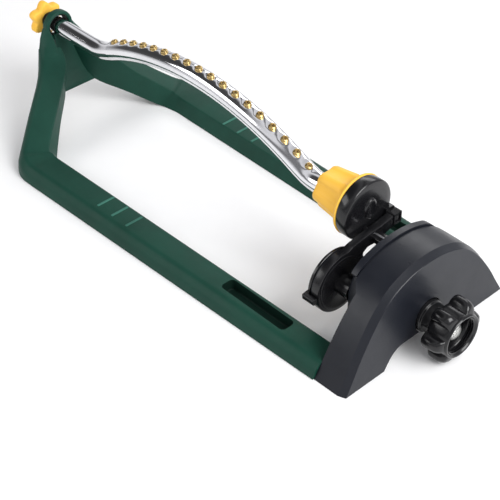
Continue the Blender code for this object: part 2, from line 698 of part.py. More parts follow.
def build_tube():
    line = [p for p in tube_centreline() if -484 <= p[0] <= -95]
    stations = []
    last = None
    for i in range(1, len(line) - 1):
        x, rise = line[i]
        slope = math.atan2(line[i + 1][1] - line[i - 1][1], line[i + 1][0] - line[i - 1][0])
        if last is None or i == len(line) - 2 or abs(slope - last[1]) > 0.085 or x - last[0] > 60:
            stations.append((x, rise, slope))
            last = (x, slope)
    bm = bmesh.new()
    count = 14
    skins = []
    for radius in (TUBE_RADIUS, TUBE_BORE):
        rings = []
        for x, rise, slope in stations:
            ring = []
            for i in range(count):
                a = 2 * math.pi * i / count
                up, out = radius * math.sin(a), radius * math.cos(a)
                ring.append(bm.verts.new(world(x - up * math.sin(slope),
                                               *tilted(out, rise + up * math.cos(slope)))))
            rings.append(ring)
        skins.append(rings)
    around = skins[0] + skins[1][::-1] + skins[0][:1]
    for a, b in zip(around, around[1:]):
        for i in range(count):
            j = (i + 1) % count
            bm.faces.new((a[i], a[j], b[j], b[i]))
    bmesh.ops.triangulate(bm, faces=bm.faces)
    tube = finish("spray_tube", bm, "chrome", (-280.0, 0.0, AXIS_Z))

    holes = bmesh.new()
    for i in range(JET_COUNT):
        add_loft(holes, jet_rings(i, ((5.0, 2.0), (9.0, 2.0), (9.0, 4.4), (12.5, 4.4)), 8))
        jet = bmesh.new()
        add_loft(jet, jet_rings(i, ((6.2, 1.6), (9.3, 1.6), (9.3, 3.1), (10.3, 3.0), (11.6, 1.5))))
        finish("jet_%02d" % (i + 1), jet, "brass", (-280.0, 0.0, AXIS_Z))
    combine(tube, guide("jet_holes", holes), "DIFFERENCE")


def jet_rings(index, profile, count=6):
    """Rings of a jet: profile holds (height, radius), and the tip is 11.6 high."""
    along = ((index - (JET_COUNT - 1) / 2) * JET_PITCH + JET_SHIFT) / JET_TIP_RADIUS
    normal = (math.sin(along), math.cos(along))
    rings = []
    for height, radius in profile:
        reach = JET_TIP_RADIUS - 11.6 + height
        ring = []
        for k in range(count):
            a = 2 * math.pi * k / count
            tangent = radius * math.sin(a)
            x = JET_ARC_X + reach * normal[0] + tangent * normal[1]
            rise = JET_ARC_RISE - JET_TIP_RADIUS + reach * normal[1] - tangent * normal[0]
            ring.append((x, *tilted(radius * math.cos(a), rise)))
        rings.append(ring)
    return rings


def build_tube_ends(train):
    pivot = (-90.0, 0.0, AXIS_Z)
    # nut: six lobes, a shoulder and a thin flange in front
    bm = bmesh.new()
    sections = []
    for x, radius, lobe in ((-115.0, 14.2, 0.4), (-114.0, 16.4, 1.1), (-97.0, 18.5, 1.6),
                            (-89.0, 19.6, 1.2), (-85.0, 20.8, 0.0)):
        ring = []
        for i in range(30):
            a = 2 * math.pi * i / 30
            r = radius + lobe * math.cos(6 * a)
            ring.append((x, *tilted(r * math.cos(a), r * math.sin(a))))
        sections.append(ring)
    add_loft(bm, sections)
    nut = finish("tube_nut", bm, "yellow", pivot)
    bm = bmesh.new()
    add_turned(bm, [(-85.2, 0), (-85.2, 20.6), (-83.4, 25.9), (-82.4, 26.6), (-81.0, 26.6),
                    (-80.7, 26.3), (-80.7, 0)], 0, AXIS_Z, 36)
    combine(nut, guide("nut_flange", bm), "UNION")
    bm = bmesh.new()
    add_turned(bm, [(-121, 0), (-121, 12.6), (-101, 12.6), (-97, 11.2), (-79, 11.2), (-79, 0)],
               0, AXIS_Z, 24)
    combine(nut, guide("nut_bore", bm), "DIFFERENCE")

    # hub that the nut draws up to the tube, with the gear and a front journal
    bm = bmesh.new()
    add_turned(bm, [(-98.5, 9.2), (-98.5, 10.8), (-77.2, 10.8), (-77.2, 6.5), (-94.5, 6.5),
                    (-94.5, 9.2)], 0, AXIS_Z, 24)
    hub = finish("tube_gear", bm, "white", pivot)
    bm = bmesh.new()
    tube, output = train["tube"], train["output"]
    turn = mesh_turn(angle_to(tube, output), TUBE_GEAR_TEETH)
    add_prism(bm, [gear_outline(*tube, TUBE_GEAR_TEETH, turn), circle(*tube, 6.5, 16)], -78.0, -72.8)
    combine(hub, guide("tube_gear_teeth", bm), "UNION")
    turned("tube_seal", [(-79.9, 11.1), (-79.9, 13.2), (-78.4, 13.2), (-78.4, 11.1)],
           0, AXIS_Z, "rubber", 24, pivot)


def build_plug():
    pivot = (-485.0, 0.0, axle_z(-485.0))
    bm = bmesh.new()
    sections = []
    for x, shrink in ((PLUG_END_X, 1.6), (PLUG_END_X + 1.5, 0.0), (-488.0, 0.0), (-486.5, 1.2)):
        ring = []
        for i in range(60):
            a = 2 * math.pi * i / 60
            lobe = 0.5 + 0.5 * math.cos(KNOB_LOBES * (a - KNOB_TURN))
            r = 13.0 + 4.4 * lobe ** 0.9 - shrink
            ring.append((x, r * math.cos(a), axle_z(x) + r * math.sin(a)))
        sections.append(ring)
    add_loft(bm, sections)
    plug = finish("end_plug", bm, "yellow", pivot)
    bm = bmesh.new()
    add_turned(bm, [(-488.0, 0), (-488.0, 6.2), (-474.0, 6.2), (-474.0, 0)], 0, AXIS_Z, 20,
               AXIS_DROP)
    combine(plug, guide("plug_thread", bm), "UNION")
    bm = bmesh.new()
    add_turned(bm, [(-480, 0), (-480, 1.6), (-470, 1.6), (-470, 0)], 0, AXIS_Z, 12, AXIS_DROP)
    combine(plug, guide("plug_pin_hole", bm), "DIFFERENCE")
    turned("plug_ring", [(-486.2, 7.2), (-486.2, 9.8), (-484.5, 9.8), (-484.5, 7.2)],
           0, AXIS_Z, "rubber", 20, pivot, AXIS_DROP)
    turned("cleaning_pin", [(-479.5, 0), (-479.5, 1.3), (-462.0, 1.3), (-455.0, 0.4), (-455.0, 0)],
           0, AXIS_Z, "brass", 12, pivot, AXIS_DROP)
    turned("collar_bush", [(-478.0, 9.3), (-478.0, 13.0), (-476.3, 13.0), (-476.3, BUSH_RADIUS),
                           (-464.0, BUSH_RADIUS), (-464.0, 9.3)], 0, AXIS_Z, "white", 24, None, AXIS_DROP)


# ---------------------------------------------------------------- hose coupling

def build_coupling():
    pivot = (20.0, 0.0, INLET_Z)
    profile = [(11.6, 11.2), (11.6, 18.2), (12.4, 19.0), (31.8, 19.0), (COUPLING_END_X, 17.6),
               (COUPLING_END_X, THREAD_RADIUS + 0.6), (32.0, THREAD_RADIUS), (14.4, THREAD_RADIUS),
               (14.4, 11.2)]
    coupling = turned("swivel_coupling", profile, 0, INLET_Z, "gloss_black", 32, pivot)
    bm = bmesh.new()
    for k in range(6):
        a = math.radians(60 * k) + COUPLING_TURN
        lobe = []
        for i in range(10):
            t = 2 * math.pi * i / 10
            reach = 20.8 + 6.5 * math.cos(t)
            across = 6.4 * math.sin(t)
            lobe.append((reach * math.cos(a) - across * math.sin(a),
                         INLET_Z + reach * math.sin(a) + across * math.cos(a)))
        add_loft(bm, [[(13.4, y, z) for y, z in lobe], [(29.6, y, z) for y, z in lobe]])
    combine(coupling, guide("coupling_lobes", bm), "UNION")
    bm = bmesh.new()
    add_turned(bm, [(5, 0), (5, 11.2), (14.4, 11.2), (14.4, THREAD_RADIUS), (36, THREAD_RADIUS),
                    (36, 0)], 0, INLET_Z, 32)
    combine(coupling, guide("coupling_bore", bm), "DIFFERENCE")
    turned("hose_washer", [(17.3, 9.0), (17.3, 12.9), (20.2, 12.9), (20.2, 9.0)], 0, INLET_Z,
           "rubber", 24, pivot)
    dome = [(20.5, 0), (20.5, 12.6), (21.3, 12.6), (21.3, 10.4), (22.6, 9.6), (24.2, 6.6), (25.0, 0)]
    turned("filter_screen", dome, 0, INLET_Z, "steel", 24, pivot)


def build_flow_parts(train):
    y, z = train["turbine"]
    ring = []
    for i in range(32):
        a = 2 * math.pi * i / 32
        r = 6.5 if i % 4 < 2 else 8.8
        ring.append((y + r * math.cos(a), z + r * math.sin(a)))
    prism("flow_ring", [circle(y, z, 10.6, 32), ring], -13.9, -13.1, "white")
    flap_y, flap_z = 22.0, 24.0
    flap = [(flap_y - 2.6, flap_z - 2.6), (flap_y + 2.6, flap_z - 2.6), (flap_y + 2.0, flap_z + 9.0),
            (flap_y - 2.0, flap_z + 9.0)]
    prism("reversing_flap", [flap, circle(flap_y, flap_z, 1.3, 12)], -18.5, -13.2, "white",
          (-15.0, flap_y, flap_z))
    prism("flap_pin", [circle(flap_y, flap_z, 1.0, 12)], -24.0, -12.4, "steel")


# ---------------------------------------------------------------- fasteners

def build_screws():
    """Screws under the tongues and behind the motor case."""
    spots = [(x, side * 79.0) for side in (-1, 1) for x in SCREW_XS]
    for number, (x, y) in enumerate(spots, 1):
        bm = bmesh.new()
        add_loft(bm, [[(x + r * math.cos(math.pi * i / 4), y + r * math.sin(math.pi * i / 4), z)
                       for i in range(8)]
                      for z, r in ((0.2, 2.4), (1.3, 2.9), (1.3, 1.3), (7.6, 1.3))])
        finish("housing_screw_%d" % number, bm, "steel")
    for number, (y, z) in enumerate(((-37.0, 24.0), (37.0, 24.0), (36.0, 60.0)), 1):
        head = [(CASE_REAR_X - 2.0, 0), (CASE_REAR_X - 2.0, 2.2), (CASE_REAR_X - GAP, 2.8),
                (CASE_REAR_X - GAP, 0)]
        turned("case_screw_%d" % number, head, y, z, "steel", 10)


def build():
    clear_scene()
    train = gear_train()
    build_frame()
    build_housing()
    build_motor_case(train)
    build_gears(train)
    build_bridge(train)
    build_socket(train)
    build_tube()
    build_tube_ends(train)
    build_plug()
    build_coupling()
    build_flow_parts(train)
    build_screws()


build()
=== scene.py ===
"""Looks of the oscillating lawn sprinkler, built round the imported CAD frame.

Lengths are in millimetres until a mesh is made: X along the spray tube towards the hose
coupling, counted from the housing's front face, Y across, Z up from the ground.
"""

import json
import math

import bmesh
import bpy
from mathutils import Matrix, Vector
from mathutils.geometry import tessellate_polygon

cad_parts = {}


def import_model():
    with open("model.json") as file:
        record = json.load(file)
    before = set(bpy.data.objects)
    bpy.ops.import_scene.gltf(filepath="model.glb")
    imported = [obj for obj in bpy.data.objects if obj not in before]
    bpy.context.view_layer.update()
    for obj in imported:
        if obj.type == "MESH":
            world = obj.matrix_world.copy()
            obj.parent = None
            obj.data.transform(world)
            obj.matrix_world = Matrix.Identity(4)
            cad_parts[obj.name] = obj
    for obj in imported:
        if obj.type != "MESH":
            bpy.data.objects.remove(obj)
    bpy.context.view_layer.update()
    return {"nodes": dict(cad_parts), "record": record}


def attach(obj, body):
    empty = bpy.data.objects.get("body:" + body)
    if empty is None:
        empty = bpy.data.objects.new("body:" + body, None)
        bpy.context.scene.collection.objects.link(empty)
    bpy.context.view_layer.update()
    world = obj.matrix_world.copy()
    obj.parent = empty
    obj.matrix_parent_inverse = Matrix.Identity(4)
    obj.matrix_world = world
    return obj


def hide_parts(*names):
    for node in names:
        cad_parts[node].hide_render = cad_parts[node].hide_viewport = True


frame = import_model()

MM = 0.001
TAU = 2 * math.pi

ORIGIN_X = -231.5                # middle of the footprint
AXIS_Z = 90.8                    # height of the tube's swing axis at AXIS_PIVOT_X
AXIS_PIVOT_X = -85.0
AXIS_DROP = 0.011                # fall of that axis towards the rear, for each mm
LEAN = math.radians(3.0)         # lean of the tube at rest
RAIL_HEIGHT = 13.5
WALL = 2.4                       # thickness of the frame's channel
POCKET_X, POCKET_Y = -112.5, 78.4
POCKET_SIZE = (36.6, 7.0, 4.0)   # half length, half width and corner radius
RIB_Y, RIB_PITCH = 82.6, 19.5
FRONT_LEAN = 0.06                # slope of the housing's face, back for each mm up
INLET_Z = 26.9                   # height of the hose coupling's axis
OUTPUT_Z = 72.13                 # height of the output shaft
SHAFT_HOLE = 2.2                 # radius of the holes it passes through
DIAL_Y, DIAL_Z = -37.0, 45.0
ARC_X, ARC_RISE = -266.7, 43.0   # crown of the row of jet tips, above the swing axis
TIP_RADIUS = 280.0               # radius of the arc that the tips lie on
TIP_ABOVE_CENTRE = 10.3          # from the tube's centreline out to the tips
TUBE_X = (-482, -96)             # rear and front end of the tube
JETS, JET_PITCH, JET_SHIFT = 18, 15.2, 8.85
NUT_WAVES, KNOB_LOBES = 6, 6


def world(x, y, z):
    """A point given in millimetres, in the scene's metres."""
    return Vector(((x - ORIGIN_X) * MM, y * MM, z * MM))


def axle_z(x):
    """Height of the swing axis at x."""
    return AXIS_Z + AXIS_DROP * (x - AXIS_PIVOT_X)


def tilted(y, rise):
    """Y and Z of a point on the leaning tube, from its place beside and above the axis."""
    return (y * math.cos(LEAN) - rise * math.sin(LEAN),
            AXIS_Z + y * math.sin(LEAN) + rise * math.cos(LEAN))


# ------------------------------------------------------------------ materials

class Nodes:
    """A material's node tree, with short ways to add and join nodes."""

    def __init__(self, name):
        self.mat = bpy.data.materials.new(name)
        self.mat.use_nodes = True
        self.tree = self.mat.node_tree
        self.shader = self.tree.nodes["Principled BSDF"]
        self.coords = self.add("ShaderNodeTexCoord").outputs["Object"]

    def add(self, kind, **settings):
        node = self.tree.nodes.new(kind)
        for key, value in settings.items():
            setattr(node, key, value)
        return node

    def link(self, a, b):
        self.tree.links.new(a, b)

    def stretched(self, scale):
        node = self.add("ShaderNodeMapping")
        node.inputs["Scale"].default_value = scale
        self.link(self.coords, node.inputs["Vector"])
        return node.outputs["Vector"]

    def noise(self, scale, detail=4.0, rough=0.55, vector=None):
        node = self.add("ShaderNodeTexNoise")
        node.inputs["Scale"].default_value = scale
        node.inputs["Detail"].default_value = detail
        node.inputs["Roughness"].default_value = rough
        self.link(vector or self.coords, node.inputs["Vector"])
        return node.outputs["Fac"]

    def ramp(self, fac, stops):
        node = self.add("ShaderNodeValToRGB")
        elements = node.color_ramp.elements
        while len(elements) < len(stops):
            elements.new(0.5)
        for element, (place, colour) in zip(elements, stops):
            element.position = place
            element.color = (*colour, 1.0)
        self.link(fac, node.inputs["Fac"])
        return node.outputs["Color"]

    def spread(self, fac, low, high):
        node = self.add("ShaderNodeMapRange")
        node.inputs["From Min"].default_value = 0.3
        node.inputs["From Max"].default_value = 0.7
        node.inputs["To Min"].default_value = low
        node.inputs["To Max"].default_value = high
        self.link(fac, node.inputs["Value"])
        return node.outputs["Result"]

    def bump(self, height, distance, strength=1.0, under=None):
        node = self.add("ShaderNodeBump")
        node.inputs["Strength"].default_value = strength
        node.inputs["Distance"].default_value = distance
        self.link(height, node.inputs["Height"])
        if under is not None:
            self.link(under, node.inputs["Normal"])
        return node.outputs["Normal"]

    def to(self, **sockets):
        for name, value in sockets.items():
            socket = self.shader.inputs[name.replace("_", " ")]
            if isinstance(value, bpy.types.NodeSocket):
                self.link(value, socket)
            else:
                socket.default_value = value
        return self.mat


def shade(colour, factor):
    return tuple(min(1.0, c * factor) for c in colour)


def plastic(name, colour, rough, grain=900.0, grain_depth=0.00006, mottle=0.12,
            gloss=0.18):
    """Moulded plastic: faint flow mottling, fine spark grain, roughness that varies."""
    n = Nodes(name)
    broad = n.noise(22.0, 5.0, 0.6)
    fine = n.noise(grain, 3.0, 0.6)
    base = n.ramp(broad, ((0.3, shade(colour, 1 - mottle)),
                          (0.7, shade(colour, 1 + mottle))))
    ripple = n.noise(60.0, 2.0, 0.5)
    normal = n.bump(fine, grain_depth, 0.6, n.bump(ripple, 0.00025, 0.25))
    worn = n.spread(n.noise(45.0, 6.0, 0.65), rough - 0.07, rough + 0.07)
    return n.to(Base_Color=base, Roughness=worn, Normal=normal, Specular_IOR_Level=gloss)


def metal(name, colour, rough, stretch, scale, depth=0.00002, tarnish=0.08):
    """Turned or drawn metal: fine lines along the stretch and slight tarnish."""
    n = Nodes(name)
    lines = n.noise(scale, 3.0, 0.6, n.stretched(stretch))
    broad = n.noise(35.0, 4.0, 0.6)
    base = n.ramp(broad, ((0.3, shade(colour, 1 - tarnish)),
                          (0.7, shade(colour, 1 + tarnish / 2))))
    worn = n.spread(lines, rough * 0.75, rough * 1.35)
    return n.to(Base_Color=base, Metallic=1.0, Roughness=worn,
                Normal=n.bump(lines, depth, 0.5))


def screen_mesh(name):
    """Woven filter wire: two sets of fine bands, with the openings between them painted dark as
    shade.
    """
    n = Nodes(name)
    sets = []
    for direction in ("Y", "Z"):
        wave = n.add("ShaderNodeTexWave", wave_type="BANDS", bands_direction=direction)
        wave.inputs["Scale"].default_value = 210.0
        n.link(n.coords, wave.inputs["Vector"])
        sets.append(wave.outputs["Fac"])
    top = n.add("ShaderNodeMath", operation="MAXIMUM")
    n.link(sets[0], top.inputs[0])
    n.link(sets[1], top.inputs[1])
    wires = top.outputs["Value"]
    # Light wires; the openings between them are painted near black, standing for the shade seen
    # through them.
    base = n.ramp(wires, ((0.55, (0.02, 0.02, 0.02)), (0.75, (0.85, 0.85, 0.82))))
    return n.to(Base_Color=base, Metallic=1.0, Roughness=n.spread(wires, 0.6, 0.28),
                Normal=n.bump(wires, 0.0003, 1.0))


GREEN = (0.0085, 0.050, 0.034)
CHARCOAL = (0.0105, 0.0120, 0.0170)
BLACK = (0.006, 0.006, 0.007)
MATERIALS = {
    "frame_green": plastic("green_moulding", GREEN, 0.48, 700.0, 0.00008, 0.16),
    "housing_black": plastic("charcoal_moulding", CHARCOAL, 0.34, 1100.0, 0.00006, 0.10, 0.32),
    "drive_black": plastic("black_gloss_moulding", BLACK, 0.19, 900.0, 0.00002, 0.2, 0.42),
    "control_yellow": plastic("yellow_moulding", (1.0, 0.56, 0.08), 0.33, 800.0, 0.00003,
                              0.05),
    "tube_metal": metal("polished_tube", (0.80, 0.80, 0.82), 0.09, (3.0, 60.0, 60.0), 30.0,
                        0.00001),
    "jet_brass": metal("turned_brass", (0.50, 0.36, 0.15), 0.30, (1.0, 1.0, 6.0), 500.0),
    "shaft_steel": metal("turned_steel", (0.55, 0.55, 0.57), 0.30, (8.0, 1.0, 1.0), 500.0),
    "gear_white": plastic("white_nylon", (0.68, 0.67, 0.62), 0.45, 500.0, 0.00004, 0.05),
    "seal_rubber": plastic("black_rubber", (0.015, 0.015, 0.015), 0.75, 1200.0, 0.00008,
                           0.2),
}
# Painted shade: the pocket's inside is the rail green darkened to three tenths, standing for the
# shade in the recess.
POCKET = plastic("green_painted_shade", shade(GREEN, 0.3), 0.6)
# Painted highlight: the ribs are a lighter, greyer green than the rail, standing for the light
# caught on their raised edges.
RIB_HIGHLIGHT = plastic("green_ribs_painted_highlight", (0.045, 0.155, 0.118), 0.6, 500.0, 0.00012, 0.25)
SCREEN = screen_mesh("filter_wire")


# ------------------------------------------------------------------ mesh helpers

def make(name, bm, slot, body, nodes, mat=None, smooth=35.0):
    """Turn a bmesh into a shown piece that rides on a body and replaces CAD nodes.

    Without a body it is only a helper for a boolean.
    """
    bmesh.ops.remove_doubles(bm, verts=bm.verts, dist=1e-7)
    bmesh.ops.recalc_face_normals(bm, faces=bm.faces)
    mesh = bpy.data.meshes.new(name)
    bm.to_mesh(mesh)
    bm.free()
    mesh.shade_smooth()
    mesh.set_sharp_from_angle(angle=math.radians(smooth))
    obj = bpy.data.objects.new(name, mesh)
    bpy.context.scene.collection.objects.link(obj)
    if body is None:
        return obj
    mesh.materials.append(mat or MATERIALS[slot])
    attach(obj, body)
    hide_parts(*nodes)
    return obj


def carve(bm, tools):
    """Cut bmeshes out of another, returned as a new bmesh."""
    base = make("carve_base", bm, None, None, ())
    helpers = []
    for tool in tools:
        helper = make("carve_tool", tool, None, None, ())
        helpers.append(helper)
        mod = base.modifiers.new("cut", "BOOLEAN")
        mod.operation = "DIFFERENCE"
        mod.solver = "EXACT"
        mod.object = helper
    graph = bpy.context.evaluated_depsgraph_get()
    result = bmesh.new()
    result.from_mesh(bpy.data.meshes.new_from_object(base.evaluated_get(graph)))
    for obj in [base] + helpers:
        bpy.data.objects.remove(obj, do_unlink=True)
    return result


def soften(obj, width, angle=40.0, segments=3):
    """Round the edges of a piece that are sharper than an angle."""
    mod = obj.modifiers.new("edge_round", "BEVEL")
    mod.width = width * MM
    mod.segments = segments
    mod.limit_method = "ANGLE"
    mod.angle_limit = math.radians(angle)
    mod.harden_normals = True
    mod.miter_outer = "MITER_ARC"
    return obj


def circle(y, z, radius, count=64):
    return [(y + radius * math.cos(TAU * i / count),
             z + radius * math.sin(TAU * i / count)) for i in range(count)]


def add_rings(bm, sections, capped=True, looped=False):
    """Skin a row of closed sections, with caps on its ends or joined into a loop."""
    rings = [[bm.verts.new(world(*p)) for p in section] for section in sections]
    pairs = list(zip(rings, rings[1:]))
    if looped:
        pairs.append((rings[-1], rings[0]))
    for a, b in pairs:
        for i in range(len(a)):
            j = (i + 1) % len(a)
            bm.faces.new((a[i], a[j], b[j], b[i]))
    if capped and not looped:
        for ring, section in ((rings[0], sections[0]), (rings[-1], sections[-1])):
            for tri in tessellate_polygon([[Vector(p) for p in section]]):
                bm.faces.new([ring[i] for i in tri])


def add_prism(bm, loops, x0, x1):
    """Extrude an outline in Y and Z, and any holes in it, from x0 to x1."""
    triangles = tessellate_polygon([[Vector((y, z, 0)) for y, z in loop] for loop in loops])
    points = [p for loop in loops for p in loop]
    ends = [[bm.verts.new(world(x, y, z)) for y, z in points] for x in (x0, x1)]
    for tri in triangles:
        for end in ends:
            bm.faces.new([end[i] for i in tri])
    start = 0
    for loop in loops:
        for i in range(len(loop)):
            j = start + (i + 1) % len(loop)
            bm.faces.new((ends[0][start + i], ends[0][j], ends[1][j], ends[1][start + i]))
        start += len(loop)


def rounded(points, radius, steps=4, closed=True):
    """A polyline or outline with its corners rounded, by one radius or one for each."""
    result = []
    count = len(points)
    radii = radius if isinstance(radius, (list, tuple)) else [radius] * count
    for i, p in enumerate(points):
        if not closed and i in (0, count - 1):
            result.append(tuple(p))
            continue
        here = Vector(p)
        a, b = Vector(points[i - 1]) - here, Vector(points[(i + 1) % count]) - here
        if a.length < 1e-6 or b.length < 1e-6:
            result.append(tuple(p))
            continue
        reach = min(radii[i], 0.45 * a.length, 0.45 * b.length)
        start, end = here + a.normalized() * reach, here + b.normalized() * reach
        for k in range(steps + 1):
            t = k / steps
            result.append(tuple(start.lerp(here, t).lerp(here.lerp(end, t), t)))
    return result


def turned(profile, y, z, count=72, drop=0.0, fillet=0.0):
    """Closed solid of revolution about an X line; profile holds (x, radius)."""
    if fillet:
        profile = rounded(profile, fillet, 3)
    bm = bmesh.new()
    sections = []
    for x, radius in profile:
        low = z + drop * (x - AXIS_PIVOT_X)
        sections.append([(x, *p) for p in circle(y, low, max(radius, 0.01), count)])
    add_rings(bm, sections, looped=True)
    return bm


def merged(*parts):
    """Join several bmeshes into one."""
    result = bmesh.new()
    for part in parts:
        mesh = bpy.data.meshes.new("part")
        part.to_mesh(mesh)
        part.free()
        result.from_mesh(mesh)
        bpy.data.meshes.remove(mesh)
    return result


def spline(a, b, c, d, t):
    """Catmull-Rom between b and c."""
    return tuple(0.5 * ((2 * q) + (r - p) * t + (2 * p - 5 * q + 4 * r - s) * t * t
                        + (3 * q - p - 3 * r + s) * t ** 3) for p, q, r, s in zip(a, b, c, d))


# ------------------------------------------------------------------ frame

def rail_outline(x):
    """Corners of the straight rail's outside at x, from outer foot over to inner foot."""
    outer, inner = 95.6 - 0.03 * x, 66.3 - 0.02 * x
    return [(x, outer, 0.0), (x, outer - 2.0, 7.5), (x, outer - 8.5, RAIL_HEIGHT),
            (x, inner, RAIL_HEIGHT), (x, inner - 6.0, 0.0)]


CORNER_RADII = (0.0, 4.0, 3.0, 1.2, 0.0)

# The same five corners at stations round the rear bend and up the leg.
BENDS = (
    [(-398.0, 106.5, 0.0), (-396.0, 105.5, 7.5), (-393.0, 99.5, 14.0), (-388.0, 74.2, 14.0),
     (-391.0, 66.5, 0.0)],
    [(-411.0, 100.0, 1.5), (-408.5, 101.0, 9.5), (-403.5, 96.0, 16.0), (-392.0, 73.5, 15.0),
     (-398.5, 65.0, 0.5)],
    [(-421.0, 90.0, 8.0), (-417.0, 91.5, 14.0), (-412.0, 89.5, 18.0), (-398.5, 73.0, 17.0),
     (-406.0, 58.5, 4.0)],
    [(-440.0, 62.0, 33.0), (-436.5, 63.0, 37.0), (-431.5, 61.5, 40.0), (-416.5, 46.5, 39.5),
     (-425.0, 38.8, 18.0)],
    [(-449.5, 44.0, 53.0), (-446.0, 44.3, 57.0), (-441.5, 42.5, 59.0), (-426.5, 29.0, 59.5),
     (-444.0, 17.0, 32.0)],
    [(-463.0, 32.0, 62.0), (-459.5, 32.0, 65.5), (-454.5, 30.5, 67.5), (-441.0, 15.0, 66.5),
     (-457.0, 10.0, 47.0)],
    [(-470.0, 25.6, 71.0), (-467.0, 25.0, 73.2), (-462.5, 22.3, 75.0), (-452.0, 12.0, 75.0),
     (-464.0, 8.0, 62.0)],
)
# Corners of the shoulder that carries on from the leg round the collar.
SHOULDER = (
    [(-463.0, 32.0, 62.0), (-459.5, 32.0, 65.5), (-454.5, 30.5, 67.5), (-446.0, 18.0, 67.5),
     (-457.0, 16.0, 58.0)],
    [(-470.0, 25.6, 71.0), (-467.0, 25.0, 73.2), (-462.5, 21.8, 75.0), (-455.0, 14.5, 76.0),
     (-464.0, 12.0, 66.0)],
    [(-473.5, 21.0, 79.0), (-471.0, 20.0, 80.5), (-467.0, 16.8, 82.0), (-461.0, 13.2, 81.5),
     (-467.0, 11.0, 74.0)],
    [(-476.0, 15.6, 86.0), (-474.0, 15.2, 88.0), (-470.0, 14.4, 89.5), (-467.5, 12.8, 87.5),
     (-470.5, 12.6, 81.0)],
)


def channel(outline, along):
    """Give an open outline the channel's wall thickness, inwards."""
    points = [Vector(p) for p in outline]
    normals = [(b - a).cross(along).normalized() for a, b in zip(points, points[1:])]
    inner = []
    for i, p in enumerate(points):
        before, after = normals[max(i - 1, 0)], normals[min(i, len(normals) - 1)]
        inner.append(p + (before + after) * (WALL / (1 + before.dot(after))))
    for end in (0, -1):
        inner[end].z = max(inner[end].z, points[end].z)
    return [tuple(p) for p in points + inner[::-1]]


def frame_half(side):
    """One rail, bend and leg as a single channel; side is -1 near, 1 far."""
    keys = [rail_outline(x) for x in (-31.2, -365.0, -382.0)] + list(BENDS)
    outlines = [rail_outline(x) for x in (-31.2, -60.0, -160.0, -260.0, -340.0)]
    for k in range(1, len(keys) - 1):
        before, after = keys[k - 1], keys[min(k + 2, len(keys) - 1)]
        if k == 1:
            before = rail_outline(-348.0)
        for step in range(5):
            t = step / 5
            outlines.append([spline(a, b, c, d, t)
                             for a, b, c, d in zip(before, keys[k], keys[k + 1], after)])
    outlines.append(keys[-1])
    for _ in range(3):
        outlines = outlines[:6] + [
            [tuple((p + 2 * q + r) / 4 for p, q, r in zip(*corner)) for corner in zip(a, b, c)]
            for a, b, c in zip(outlines[5:], outlines[6:], outlines[7:])] + [outlines[-1]]
    outlines = [rounded(line, CORNER_RADII, 4, closed=False) for line in outlines]
    centres = [sum((Vector(p) for p in line), Vector()) / len(line) for line in outlines]
    sections = []
    for i, line in enumerate(outlines):
        along = (centres[min(i + 1, len(centres) - 1)] - centres[max(i - 1, 0)]).normalized()
        sections.append([(x, side * y, max(z, 0.0)) for x, y, z in channel(line, along)])
    bm = bmesh.new()
    add_rings(bm, sections)
    return bm


def slot_outline(x, y, half_x, half_y, corner, steps=8):
    """Rectangle with round corners, seen from above."""
    outline = []
    for sx, sy, start in ((1, 1, 0), (-1, 1, 90), (-1, -1, 180), (1, -1, 270)):
        for i in range(steps + 1):
            a = math.radians(start + 90 * i / steps)
            outline.append((x + sx * (half_x - corner) + corner * math.cos(a),
                            y + sy * (half_y - corner) + corner * math.sin(a)))
    return outline


